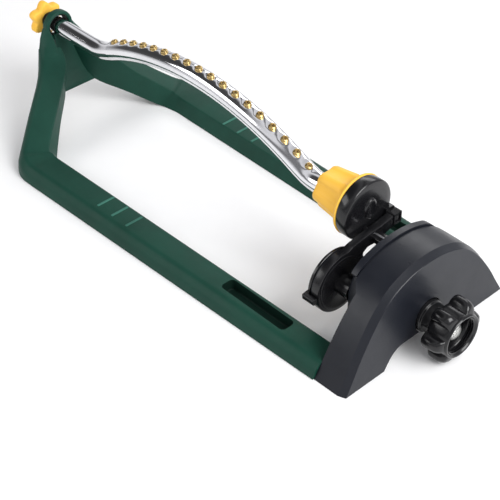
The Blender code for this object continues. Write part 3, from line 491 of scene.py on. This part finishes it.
def build_frame():
    for side, tag in ((-1, "near"), (1, "far")):
        cutter = bmesh.new()
        outline = slot_outline(POCKET_X, side * POCKET_Y, *POCKET_SIZE)
        add_rings(cutter, [[(x, y, z) for x, y in outline] for z in (3.0, 20.0)])
        half = carve(frame_half(side), [cutter])
        obj = make("frame_rail_" + tag, half, "frame_green", "base", ["base_frame"], smooth=55)
        soften(obj, 0.45, 50.0, 2)

        tub = bmesh.new()
        levels = ((13.35, 0.0), (12.6, 0.15), (4.4, 0.5), (3.6, 1.2))
        add_rings(tub, [[(x, y, z) for x, y in slot_outline(
            POCKET_X, side * POCKET_Y, *(size - inset for size in POCKET_SIZE))]
            for z, inset in levels])
        tub.faces.ensure_lookup_table()
        top = [f for f in tub.faces if min(v.co.z for v in f.verts) > 13.3 * MM]
        bmesh.ops.delete(tub, geom=top, context="FACES_ONLY")
        # The pocket's lining carries the painted shade of the recess.
        make("frame_pocket_" + tag, tub, "frame_green", "base", ["base_frame"], POCKET)

        ribs = bmesh.new()
        first = -303.0 if side < 0 else -322.0
        for i in range(3):
            x = first + RIB_PITCH * i
            levels = ((13.2, 0.0), (14.0, 0.25), (14.25, 0.7))
            add_rings(ribs, [[(px, py, z) for px, py in slot_outline(
                x + 1.3, side * RIB_Y, 1.35 - inset, 9.4 - inset, 1.0 - inset * 0.9, 4)]
                for z, inset in levels])
        # The ribs take the lighter green of their painted highlight.
        make("frame_ribs_" + tag, ribs, "frame_green", "base", ["base_frame"], RIB_HIGHLIGHT)

    collar = turned([(-476.0, 13.4), (-475.2, 14.9), (-469.6, 15.1), (-468.2, 14.3),
                     (-468.0, 12.9), (-468.6, 11.35), (-475.6, 11.35)],
                    0, AXIS_Z, 72, AXIS_DROP, 0.8)
    for side in (-1, 1):
        shoulder = bmesh.new()
        sections = []
        for first, last in zip(SHOULDER, SHOULDER[1:]):
            for step in range(6):
                sections.append([tuple(Vector(p).lerp(Vector(q), step / 6))
                                 for p, q in zip(first, last)])
        sections.append(SHOULDER[-1])
        add_rings(shoulder, [[(x, side * y, z) for x, y, z in rounded(line, 2.0, 4)]
                             for line in sections])
        collar = merged(collar, shoulder)
    make("frame_collar", collar, "frame_green", "base", ["base_frame"], smooth=50)

    web = bmesh.new()
    rows = []
    for x, half, z in ((-444.0, 17.3, 32.2), (-446.4, 16.0, 36.5), (-449.6, 15.0, 40.0),
                       (-452.8, 14.0, 46.0), (-458.0, 11.5, 58.0), (-464.0, 9.0, 70.0),
                       (-468.0, 7.8, 80.0)):
        spots = [i / 6 - 1 for i in range(13)]
        rows.append([(x, half * spot, z + 1.2 * (1 - abs(spot) ** 2)) for spot in spots])
    back = [[(x - 4.0, y, z - 1.2) for x, y, z in row] for row in rows]
    add_rings(web, [row + behind[::-1] for row, behind in zip(rows, back)])
    make("frame_web", web, "frame_green", "base", ["base_frame"], smooth=50)

    ends = bmesh.new()
    tongue = [(87.0, 1.6), (87.0, 9.5), (71.0, 9.5), (71.0, 1.6)]
    plate = [(94.6, 0.8), (87.0, 12.6), (68.0, 12.6), (62.4, 0.8)]
    for side in (-1, 1):
        add_rings(ends, [[(x, side * y, z) for y, z in section] for x, section in (
            (-9.2, tongue), (-31.8, tongue), (-31.8, plate), (-34.0, plate))])
    soften(make("frame_tongues", ends, "frame_green", "base", ["base_frame"]), 0.6)


# ------------------------------------------------------------------ housing

# Half of the housing's arch as (y, z), from the foot up to the crown.
ARCH = ((93.0, 0.0), (85.0, 13.4), (75.5, 30.5), (62.6, 48.8), (50.5, 62.4), (40.0, 70.2),
        (31.0, 74.2), (20.0, 77.6), (10.0, 79.2))
ARCH_TOP = 79.6


def arch(growth, foot=0.0):
    """Outline of the housing's arch, grown outwards, from the far foot over to the near foot."""
    wide, tall = 1 + growth / ARCH[0][0], 1 + growth / ARCH_TOP
    right = [(y * wide, z * tall if z > 0 else foot) for y, z in ARCH]
    points = right + [(0.0, ARCH_TOP * tall)] + [(-y, z) for y, z in reversed(right)]
    for _ in range(2):
        cut = [points[0]]
        for (y0, z0), (y1, z1) in zip(points, points[1:]):
            cut.append((0.75 * y0 + 0.25 * y1, 0.75 * z0 + 0.25 * z1))
            cut.append((0.25 * y0 + 0.75 * y1, 0.25 * z0 + 0.75 * z1))
        points = cut + [points[-1]]
    return points


def blend_point(a, b, t):
    return tuple(p + (q - p) * t for p, q in zip(a, b))


def under_arch(y, z, margin):
    """Lower a point so that it stays below the housing's arch by a margin."""
    points = arch(-margin)
    for (y0, z0), (y1, z1) in zip(points, points[1:]):
        if y1 <= y <= y0:
            return min(z, z0 + (z1 - z0) * (y0 - y) / max(y0 - y1, 1e-6))
    return z


def build_housing():
    under = rounded([(-50.0, 0.0), (-44.0, 8.0), (-38.0, 13.5), (-31.0, 15.5), (31.0, 15.5),
                     (38.0, 13.5), (44.0, 8.0), (50.0, 0.0)], 4.0, 4, closed=False)
    sections = []
    for x, growth in ((-31.0, 2.2), (-6.4, 1.9), (-6.0, 1.7), (-0.5, -0.5), (0.0, -0.9)):
        reach = 7.0 if x < -20 else 0.0
        ring = []
        for y, z in arch(growth) + under:
            back = reach * min(1.0, max(0.0, (z - 62.0) / 6.0))
            ring.append((x - back - FRONT_LEAN * z * (x > -10), y, z))
        sections.append(ring)
    shell = bmesh.new()
    add_rings(shell, sections)
    hollow = bmesh.new()
    inner = arch(-1.2, -5.0)
    add_rings(hollow, [[(-5.8 - FRONT_LEAN * z, y, z) for y, z in inner],
                       [(-60.0, y, z) for y, z in inner]])
    hole = turned([(-14, 0), (-14, 15.1), (6, 15.1), (6, 0)], 0, INLET_Z, 72)
    shell = carve(shell, [hollow, hole])
    soften(make("housing_shell", shell, "housing_black", "base", ["front_housing"],
                smooth=11), 0.4, 45, 2)

    lip = bmesh.new()
    lip_foot, middle = 66.0, arch(0.0)
    span = [i for i, p in enumerate(middle) if p[1] > lip_foot]
    for x0, x1, low, high in ((-44.4, -39.0, -0.6, 4.2), (-39.2, -37.0, -0.6, 1.5)):
        inner, outer = arch(low), arch(high)
        crest = [blend_point(inner[i], outer[i],
                             min(1.0, 0.45 + (middle[i][1] - lip_foot) / 12.0))
                 for i in span]
        ring = crest + [inner[i] for i in reversed(span)]
        add_rings(lip, [[(x, y, z) for y, z in ring] for x in (x0, x1)])
    soften(make("housing_lip", lip, "housing_black", "base", ["front_housing"],
                smooth=28), 0.8, 45, 3)


def case_outline(inset, steps=28):
    """Outline of the motor case, domed above its waist and round at its lower corners."""
    half, base, top = 46.0 - inset, 12.0 + inset, 79.3 - inset
    waist, corner = 46.0, 16
    points = []
    for i in range(steps + 1):
        y = half * math.cos(math.pi * i / steps)
        z = waist + (top - waist) * math.sin(math.pi * i / steps) ** 0.9
        points.append((y, under_arch(y, z, 1.3 + inset)))
    for start, centre in ((180, -half + corner), (270, half - corner)):
        for i in range(1, 9):
            a = math.radians(start + 10 * i)
            points.append((centre + corner * math.cos(a), base + corner + corner * math.sin(a)))
    return points


def build_case():
    case = bmesh.new()
    rims = ((-47.0, 4.2), (-46.9, 3.2), (-46.4, 1.6), (-45.4, 0.5), (-44.0, 0.0), (-19.3, 0.0),
            (-19.3, 0.7), (-45.0, 0.8))
    add_rings(case, [[(x, y, z) for y, z in case_outline(inset)] for x, inset in rims])
    hole = turned([(-50, 0), (-50, SHAFT_HOLE), (-42, SHAFT_HOLE), (-42, 0)], 0, OUTPUT_Z, 32)
    make("motor_case_shell", carve(case, [hole]), "housing_black", "base", ["motor_case"],
         smooth=30)

    gasket = bmesh.new()
    add_prism(gasket, [case_outline(0.5), case_outline(2.4)], -19.2, -18.5)
    make("case_seal", gasket, "seal_rubber", "base", ["case_gasket"])

    cover = bmesh.new()
    rims = ((-8.0, 3.2, FRONT_LEAN), (-8.4, 1.4, FRONT_LEAN), (-9.6, 0.2, FRONT_LEAN),
            (-18.4, 0.0, 0.0), (-18.4, 0.7, 0.0), (-10.0, 1.2, FRONT_LEAN))
    add_rings(cover, [[(x - lean * z, y, z) for y, z in case_outline(inset)]
                      for x, inset, lean in rims])
    neck = turned([(-10.8, 7.6), (-10.8, 14.3), (0.6, 14.3), (1.4, 12.9), (9.0, 12.7),
                   (9.0, 10.6), (15.0, 10.6), (15.0, 12.6), (17.0, 12.6), (17.0, 7.6)],
                  0, INLET_Z, 72, 0.0, 0.7)
    bore = turned([(-16, 0), (-16, 7.6), (-6, 7.6), (-6, 0)], 0, INLET_Z, 48)
    make("inlet_neck", merged(carve(cover, [bore]), neck), "drive_black", "base",
         ["turbine_cover"], smooth=30)


# ------------------------------------------------------------------ coupling

LOBE_TURN = 1.0                  # degrees
LOBE_BASE, LOBE_HEIGHT = 18.9, 8.4
RING_RADIUS = 18.0               # bore of the lobed ring


def build_coupling():
    lobed = []
    for x, height, inner in ((13.0, 0.70, 0), (13.4, 0.85, 0), (14.4, 0.96, 0), (16.0, 1.0, 0),
                             (23.0, 1.0, 0), (26.0, 0.93, 0), (28.4, 0.80, 0), (30.0, 0.58, 0),
                             (31.0, 0.25, 0), (31.4, 0.0, 0), (31.4, 0.0, 1), (13.0, 0.0, 1)):
        ring = []
        for i in range(240):
            a = TAU * i / 240
            t = abs((math.degrees(a) - LOBE_TURN + 30.0) % 60.0 - 30.0)
            lobe = 0.12 + 0.88 * max(0.0, 1 - (t / 16.0) ** 2.4) ** 0.65
            radius = RING_RADIUS if inner else LOBE_BASE + LOBE_HEIGHT * lobe * height
            ring.append((x, radius * math.cos(a), INLET_Z + radius * math.sin(a)))
        lobed.append(ring)
    body = bmesh.new()
    add_rings(body, lobed, looped=True)
    profile = [(11.7, 11.3), (11.7, 17.6), (12.6, 18.9), (31.0, 19.4), (32.4, 19.1), (33.0, 18.5),
               (33.0, 17.6), (32.6, 17.0), (31.6, 16.4)]
    for thread in range(3):
        x = 31.4 - 2.1 * thread
        profile += [(x, 16.2), (x - 0.5, 15.3), (x - 1.0, 15.3), (x - 1.5, 16.2)]
    profile += [(24.8, 15.4), (17.0, 14.6), (16.0, 13.4), (14.4, 13.4), (14.4, 11.3)]
    ring = turned(profile, 0, INLET_Z, 96)
    make("hose_coupling", merged(body, ring), "drive_black", "coupling",
         ["swivel_coupling"], smooth=40)
    washer = turned([(17.3, 8.0), (17.3, 14.0), (20.2, 14.2), (21.6, 12.6), (22.6, 9.0),
                     (22.6, 8.0)], 0, INLET_Z, 64, 0.0, 0.6)
    make("inlet_washer", washer, "seal_rubber", "coupling", ["hose_washer"])
    screen = turned([(20.5, 0.0), (20.5, 7.7), (24.0, 7.6), (25.6, 7.0), (26.8, 5.8), (27.6, 4.2),
                     (28.1, 2.2), (28.3, 0.0)], 0, INLET_Z, 64)
    make("inlet_filter", screen, "shaft_steel", "coupling", ["filter_screen"], SCREEN, 60)


# ------------------------------------------------------------------ bridge and dial

TAB_ANGLE = math.radians(186.0)


def bridge_outline(inset):
    """Outline of the round chamber and the arm that leaves it at the top."""
    radius = 27.0 - inset
    angles = [math.radians(80 + 280 * i / 60) for i in range(61)]
    points = [(DIAL_Y + radius * math.cos(a), DIAL_Z + radius * math.sin(a)) for a in angles]
    points += rounded([points[-1], (-13.5, 57.5), (-15.0, 62.0), (-9.5, 65.8), (-2.0, 65.0),
                       (4.0, 64.5), (12.0, 69.0), (28.0 - inset, 71.5),
                       (28.0 - inset, 82.2 - inset), (4.0, 78.0 - inset),
                       (-14.0, 76.2 - inset), (-26.5, 74.2 - inset), points[0]],
                      2.0, 3, closed=False)[1:-1]
    return points


def build_bridge():
    plate = bmesh.new()
    rims = ((-66.8, 0.0), (-61.4, 0.0), (-60.6, 0.25), (-60.1, 0.9), (-60.0, 1.5))
    add_rings(plate, [[(x, y, z) for y, z in bridge_outline(inset)] for x, inset in rims])
    chamber = bmesh.new()
    add_prism(chamber, [circle(DIAL_Y, DIAL_Z, 24.5, 64)], -69.0, -62.0)
    shaft = turned([(-70, 0), (-70, SHAFT_HOLE), (-45, SHAFT_HOLE), (-45, 0)],
                   0, OUTPUT_Z, 24)
    plate = carve(plate, [chamber, shaft])
    face = turned([(-60.6, 24.2), (-59.6, 23.9), (-59.3, 23.0), (-59.5, 21.8), (-59.5, 12.0),
                   (-59.1, 11.0), (-59.1, 0.0), (-60.6, 0.0)], DIAL_Y, DIAL_Z, 96)
    boss = turned([(-60.2, 0.0), (-60.2, 9.0), (-47.3, 9.0), (-47.3, 0.0)],
                  DIAL_Y, DIAL_Z, 48)
    foot = bmesh.new()
    add_prism(foot, [rounded([(-5.5, 68.0), (5.5, 68.0), (5.5, 73.6), (-5.5, 73.6)], 1.5)],
              -60.5, -47.3)
    block = bmesh.new()
    outline = rounded([(19.0, 71.6), (28.0, 71.6), (28.0, 82.4), (19.0, 81.4)], 1.2)
    hollow = rounded([(20.8, 73.6), (26.2, 73.6), (26.2, 80.4), (20.8, 79.6)], 0.8)
    add_prism(block, [outline, hollow], -66.8, -59.3)
    back = bmesh.new()
    add_prism(back, [hollow], -66.6, -62.0)
    obj = make("bridge_body", merged(plate, face, boss, foot, block, back), "drive_black",
               "base", ["drive_bridge"], smooth=30)
    soften(obj, 0.35, 50, 2)
    cover = bmesh.new()
    add_prism(cover, [circle(DIAL_Y, DIAL_Z, 26.0, 72), circle(DIAL_Y, DIAL_Z, 4.3, 32)],
              -68.3, -67.1)
    soften(make("chamber_cover", cover, "housing_black", "base", ["bridge_cover"]), 0.25)


def build_dial():
    disc = turned([(-72.5, 0.0), (-72.5, 24.2), (-72.1, 25.4), (-71.4, 26.1), (-69.8, 26.1),
                   (-69.1, 25.5), (-68.8, 24.4), (-68.8, 23.4), (-69.2, 22.6), (-69.2, 0.0)],
                  DIAL_Y, DIAL_Z, 120)
    hub = turned([(-69.4, 1.8), (-69.4, 3.9), (-64.6, 3.9), (-64.6, 1.8)], DIAL_Y, DIAL_Z, 40)
    ring = turned([(-72.4, 19.0), (-73.0, 19.3), (-73.0, 20.7), (-72.4, 21.0)],
                  DIAL_Y, DIAL_Z, 96)
    out = Vector((math.cos(TAB_ANGLE), math.sin(TAB_ANGLE)))
    across = Vector((-out.y, out.x))
    parts = [disc, hub, ring]
    half = 2.7
    for reach0, reach1, x1 in ((23.0, 28.5, -69.2), (27.5, 31.7, -60.4)):
        corners = rounded([(reach0, -half), (reach1, -half), (reach1, half), (reach0, half)],
                          0.9)
        tab = bmesh.new()
        add_prism(tab, [[(DIAL_Y + out.x * r + across.x * w, DIAL_Z + out.y * r + across.y * w)
                         for r, w in corners]], -72.3, x1)
        parts.append(tab)
    soften(make("dial_wheel", merged(*parts), "drive_black", "dial", ["range_dial"],
                smooth=40), 0.25, 60, 2)


def build_socket():
    profile = [(-80.3, 26.0), (-79.8, 26.2), (-71.2, 26.2), (-70.3, 25.7), (-69.8, 24.7),
               (-69.6, 20.0), (-69.3, 10.0), (-69.3, 0.0), (-71.0, 0.0), (-71.0, 4.2),
               (-90.0, 4.2), (-90.0, 6.1), (-71.8, 6.1), (-71.8, 24.4), (-80.3, 24.4)]
    drum = turned(profile, 0, AXIS_Z, 96)
    hole = turned([(-74, 0), (-74, SHAFT_HOLE), (-65, SHAFT_HOLE), (-65, 0)], 0, OUTPUT_Z, 24)
    drum = carve(drum, [hole])
    boss = bmesh.new()
    sections = []
    for x, shrink in ((-69.6, -0.5), (-68.9, -0.1), (-68.2, 0.1), (-67.6, 0.6), (-67.3, 1.5),
                      (-67.2, 2.4), (-67.6, 3.2), (-67.9, 4.2)):
        sections.append([(x, 1.0 + (6.3 - shrink) * math.cos(TAU * i / 48),
                          93.0 + (9.5 - shrink) * math.sin(TAU * i / 48)) for i in range(48)])
    add_rings(boss, sections)
    lug = bmesh.new()
    add_prism(lug, [rounded([(17.5, 72.0), (25.5, 72.6), (29.5, 75.5), (27.0, 84.0),
                             (18.0, 84.0)], 1.5)], -74.0, -67.0)
    make("socket_drum", merged(drum, boss, lug), "drive_black", "base", ["tube_socket"],
         smooth=40)


# ------------------------------------------------------------------ tube, nut, jets, plug

def centreline():
    """Centreline of the tube as (x, rise above AXIS_Z), one point a millimetre."""
    radius, low = TIP_RADIUS - TIP_ABOVE_CENTRE, ARC_RISE - TIP_RADIUS
    half = math.sqrt(radius ** 2 - low ** 2)
    raw = []
    for x in range(-520, -70):
        rise = axle_z(x) - AXIS_Z
        if abs(x - ARC_X) < radius:
            rise = low + math.sqrt(radius ** 2 - (x - ARC_X) ** 2)
        if x < ARC_X:
            rise = max(rise, axle_z(x) - AXIS_Z)
        elif x > ARC_X + half - 1:
            rise = max(rise, -3.4) * max(0.0, min(1.0, (-104.0 - x) / 14.0))
        raw.append((x, rise))
    smooth, reach = [], 27
    weights = [math.exp(-0.5 * (k / 9.0) ** 2) for k in range(-reach, reach + 1)]
    for i in range(reach, len(raw) - reach):
        rise = sum(w * raw[i + k - reach][1] for k, w in enumerate(weights)) / sum(weights)
        smooth.append((raw[i][0], rise))
    return smooth


def jet_place(index):
    """Angle of a jet along the arc."""
    return ((index - (JETS - 1) / 2) * JET_PITCH + JET_SHIFT) / TIP_RADIUS


def build_tube():
    line = [p for p in centreline() if TUBE_X[0] <= p[0] <= TUBE_X[1]]
    jets_x = [ARC_X + (TIP_RADIUS - TIP_ABOVE_CENTRE) * math.sin(jet_place(i))
              for i in range(JETS)]
    sections, count = [], 72
    for i in range(1, len(line) - 1):
        x, rise = line[i]
        slope = math.atan2(line[i + 1][1] - line[i - 1][1], line[i + 1][0] - line[i - 1][0])
        nearest = min(abs(x - j) for j in jets_x)
        flat = math.exp(-(nearest / 4.9) ** 4)
        blend = min(1.0, max(0.0, (x - jets_x[0] + 40.0) / 34.0))
        front = min(1.0, max(0.0, (x - jets_x[-1] - 4.0) / 26.0))
        half_width = 7.8 + 1.6 * blend - 0.9 * front
        height = 7.8 + 0.8 * blend
        in_row = 1.0 if jets_x[0] - 8 < x < jets_x[-1] + 8 else 0.0
        edge = 0.7
        ring = []
        for k in range(count):
            a = TAU * k / count
            up, out = height * math.sin(a), half_width * math.cos(a)
            top = height + 0.9 - in_row * (0.25 + 1.35 * flat) - 0.9 * (1 - in_row)
            if up > top - edge:
                over = up - (top - edge)
                up = top - edge + edge * (1 - math.exp(-over / edge))
            ring.append((x - up * math.sin(slope), *tilted(out, rise + up * math.cos(slope))))
        sections.append(ring)
    inner = []
    for ring in (sections[0], sections[-1]):
        middle = sum((Vector(p) for p in ring), Vector()) / count
        inner.append([tuple(Vector(p).lerp(middle, 0.2)) for p in ring])
    bm = bmesh.new()
    add_rings(bm, [inner[0]] + sections + [inner[1]], capped=False)
    make("bowed_tube", bm, "tube_metal", "tube", ["spray_tube"], smooth=60)


def build_jets():
    jets = bmesh.new()
    top = 11.6
    profile = ((8.2, 0.0), (8.3, 3.6), (9.4, 3.6), (9.6, 3.2), (11.0, 3.1), (11.4, 2.6),
               (top, 2.1), (top, 1.7), (11.1, 1.5), (11.1, 1.2), (11.5, 1.0), (11.5, 0.7),
               (9.6, 0.6), (9.6, 0.0))
    for i in range(JETS):
        along = jet_place(i)
        normal = (math.sin(along), math.cos(along))
        rings = []
        for height, radius in profile:
            reach = TIP_RADIUS - top + height
            ring = []
            for k in range(20):
                a = TAU * k / 20
                size = max(radius, 0.02)
                tangent = size * math.sin(a)
                x = ARC_X + reach * normal[0] + tangent * normal[1]
                up = ARC_RISE - TIP_RADIUS + reach * normal[1] - tangent * normal[0]
                ring.append((x, *tilted(size * math.cos(a), up)))
            rings.append(ring)
        add_rings(jets, rings)
    make("brass_jets", jets, "jet_brass", "tube",
         ["jet_%02d" % (i + 1) for i in range(JETS)], smooth=40)


def build_nut():
    """Clamp nut, flange and sleeve from (x, radius, depth of the waves) at each station."""
    sections = []
    stations = ((-115.0, 13.6, 0.4), (-114.7, 15.4, 0.8), (-114.0, 16.4, 1.1), (-112.6, 16.9, 1.3),
                (-106.0, 17.5, 1.5), (-97.0, 18.6, 1.6), (-92.0, 19.4, 1.5), (-89.0, 19.7, 1.2),
                (-87.4, 19.9, 0.6), (-85.6, 20.6, 0.2), (-84.4, 23.4, 0.0), (-83.4, 25.8, 0.0),
                (-81.8, 26.6, 0.0), (-81.0, 26.5, 0.0), (-80.75, 26.2, 0.0), (-80.75, 11.3, 0.0),
                (-97.0, 11.3, 0.0), (-101.0, 12.6, 0.0), (-114.8, 12.5, 0.0))
    for x, radius, lobe in stations:
        ring = []
        for i in range(144):
            a = TAU * i / 144
            wave = math.cos(NUT_WAVES * a)
            r = radius + lobe * (abs(wave) ** 0.6) * (1 if wave > 0 else -1)
            ring.append((x, *tilted(r * math.cos(a), r * math.sin(a))))
        sections.append(ring)
    bm = bmesh.new()
    add_rings(bm, sections, looped=True)
    make("clamp_nut", bm, "control_yellow", "tube", ["tube_nut"], smooth=45)


KNOB_TURN = math.radians(33.0)
KNOB_RADIUS, KNOB_LOBE = 13.0, 4.4


def build_plug():
    sections = []
    for x, shrink in ((-496.0, 2.4), (-495.8, 1.3), (-495.2, 0.5), (-494.2, 0.0), (-488.6, 0.0),
                      (-487.6, 0.5), (-486.9, 1.3), (-486.6, 2.6)):
        ring = []
        for i in range(192):
            a = TAU * i / 192
            lobe = 0.5 + 0.5 * math.cos(KNOB_LOBES * (a - KNOB_TURN))
            r = KNOB_RADIUS + KNOB_LOBE * lobe ** 0.9 - shrink
            ring.append((x, r * math.cos(a), axle_z(x) + r * math.sin(a)))
        sections.append(ring)
    knob = bmesh.new()
    add_rings(knob, sections)
    stem = turned([(-488.0, 0.0), (-488.0, 5.2), (-474.0, 5.2), (-474.0, 0.0)], 0, AXIS_Z, 48,
                  AXIS_DROP, 0.5)
    make("end_knob", merged(knob, stem), "control_yellow", "plug", ["end_plug"], smooth=40)
    bush = turned([(-476.4, 9.3), (-476.4, 11.0), (-470.4, 11.0), (-470.4, 9.6),
                   (-475.0, 9.3)], 0, AXIS_Z, 64, AXIS_DROP, 0.3)
    ring = turned([(-486.3, 5.3), (-486.3, 7.4), (-484.9, 7.4), (-484.9, 5.3)],
                  0, AXIS_Z, 40, AXIS_DROP, 0.4)
    make("knob_seal", ring, "seal_rubber", "plug", ["plug_ring"])
    make("collar_lining", bush, "seal_rubber", "base", ["collar_bush"])


# ------------------------------------------------------------------ stage

CAMERA_AZIMUTH, CAMERA_ELEVATION = 46.93, 39.42
CAMERA_TARGET = (-204.62, 0.0, -29.77)
CAMERA_DISTANCE = 1.183          # metres
SENSOR, LENS = 36.0, 95.616


def camera_axes(azimuth, elevation):
    """The camera's right, up and backward directions."""
    a, e = math.radians(azimuth), math.radians(elevation)
    back = Vector((math.sin(a) * math.cos(e), -math.cos(a) * math.cos(e), math.sin(e)))
    right = Vector((math.cos(a), math.sin(a), 0.0))
    return right, back.cross(right), back


# Brightness of the room along SKY_DIRECTION; the dark bands are what the tube mirrors.
SKY_DIRECTION = (-0.73, -0.305, 0.61)
SKY = ((0.0, 0.62), (0.50, 0.80), (0.57, 0.20), (0.63, 0.20), (0.68, 0.85), (0.76, 0.75),
       (0.86, 0.08), (1.0, 0.05))


def build_floor():
    floor = bmesh.new()
    size, cells = 4.0, 8
    for i in range(cells + 1):
        for j in range(cells + 1):
            floor.verts.new((size * (2 * i / cells - 1), size * (2 * j / cells - 1), -0.0004))
    floor.verts.ensure_lookup_table()
    for i in range(cells):
        for j in range(cells):
            k = i * (cells + 1) + j
            floor.faces.new([floor.verts[n] for n in (k, k + cells + 1, k + cells + 2, k + 1)])
    mesh = bpy.data.meshes.new("studio_floor")
    floor.to_mesh(mesh)
    floor.free()
    obj = bpy.data.objects.new("studio_floor", mesh)
    mesh.materials.append(plastic("pale_paper", (0.93, 0.93, 0.93), 0.85, 300.0, 0.00001, 0.01))
    bpy.context.scene.collection.objects.link(obj)


def build_room():
    room = bpy.data.worlds.new("soft_room")
    room.use_nodes = True
    nodes, links = room.node_tree.nodes, room.node_tree.links
    direction = nodes.new("ShaderNodeTexCoord").outputs["Generated"]
    tilt = nodes.new("ShaderNodeVectorMath")
    tilt.operation = "DOT_PRODUCT"
    tilt.inputs[1].default_value = SKY_DIRECTION
    links.new(direction, tilt.inputs[0])
    ramp = nodes.new("ShaderNodeValToRGB")
    elements = ramp.color_ramp.elements
    while len(elements) < len(SKY):
        elements.new(0.5)
    for element, (place, level) in zip(elements, SKY):
        element.position = place
        element.color = (level, level, level * 1.03, 1.0)
    links.new(tilt.outputs["Value"], ramp.inputs["Fac"])
    background = nodes["Background"]
    links.new(ramp.outputs["Color"], background.inputs["Color"])
    background.inputs["Strength"].default_value = 1.0
    bpy.context.scene.world = room


def build_lights():
    for name, place, target, size_x, size_y, power in (
            ("key", (1.15, 0.10, 0.95), (0.05, 0.0, 0.02), 0.9, 0.9, 20.0),
            ("fill", (-0.80, -1.10, 0.80), (0.0, 0.0, 0.04), 0.9, 0.6, 6.0),
            ("back", (-0.50, 1.20, 0.90), (0.0, 0.0, 0.05), 1.2, 0.5, 5.0)):
        light = bpy.data.lights.new(name, "AREA")
        light.shape = "RECTANGLE"
        light.size, light.size_y, light.energy = size_x, size_y, power
        lamp = bpy.data.objects.new(name, light)
        lamp.location = place
        aim = Vector(target) - Vector(place)
        lamp.rotation_euler = aim.to_track_quat("-Z", "Y").to_euler()
        bpy.context.scene.collection.objects.link(lamp)


def build_camera():
    right, up, back = camera_axes(CAMERA_AZIMUTH, CAMERA_ELEVATION)
    camera = bpy.data.cameras.new("camera")
    camera.sensor_width = SENSOR
    camera.lens = LENS
    camera.clip_end = 50.0
    rig = bpy.data.objects.new("camera", camera)
    turn = Matrix((right, up, back)).transposed().to_4x4()
    place = world(*CAMERA_TARGET) + back * CAMERA_DISTANCE
    rig.matrix_world = Matrix.Translation(place) @ turn
    bpy.context.scene.collection.objects.link(rig)
    bpy.context.scene.camera = rig
    bpy.context.scene.view_settings.view_transform = "Standard"


def dress_cad():
    """Give the CAD nodes that stay visible their materials."""
    slots = {entry["node"]: entry["material_slot"] for entry in frame["record"]["subparts"]}
    for name, obj in frame["nodes"].items():
        obj.data.materials.clear()
        obj.data.materials.append(MATERIALS[slots[name]])


dress_cad()
build_frame()
build_housing()
build_case()
build_coupling()
build_bridge()
build_dial()
build_socket()
build_tube()
build_jets()
build_nut()
build_plug()
build_floor()
build_room()
build_lights()
build_camera()
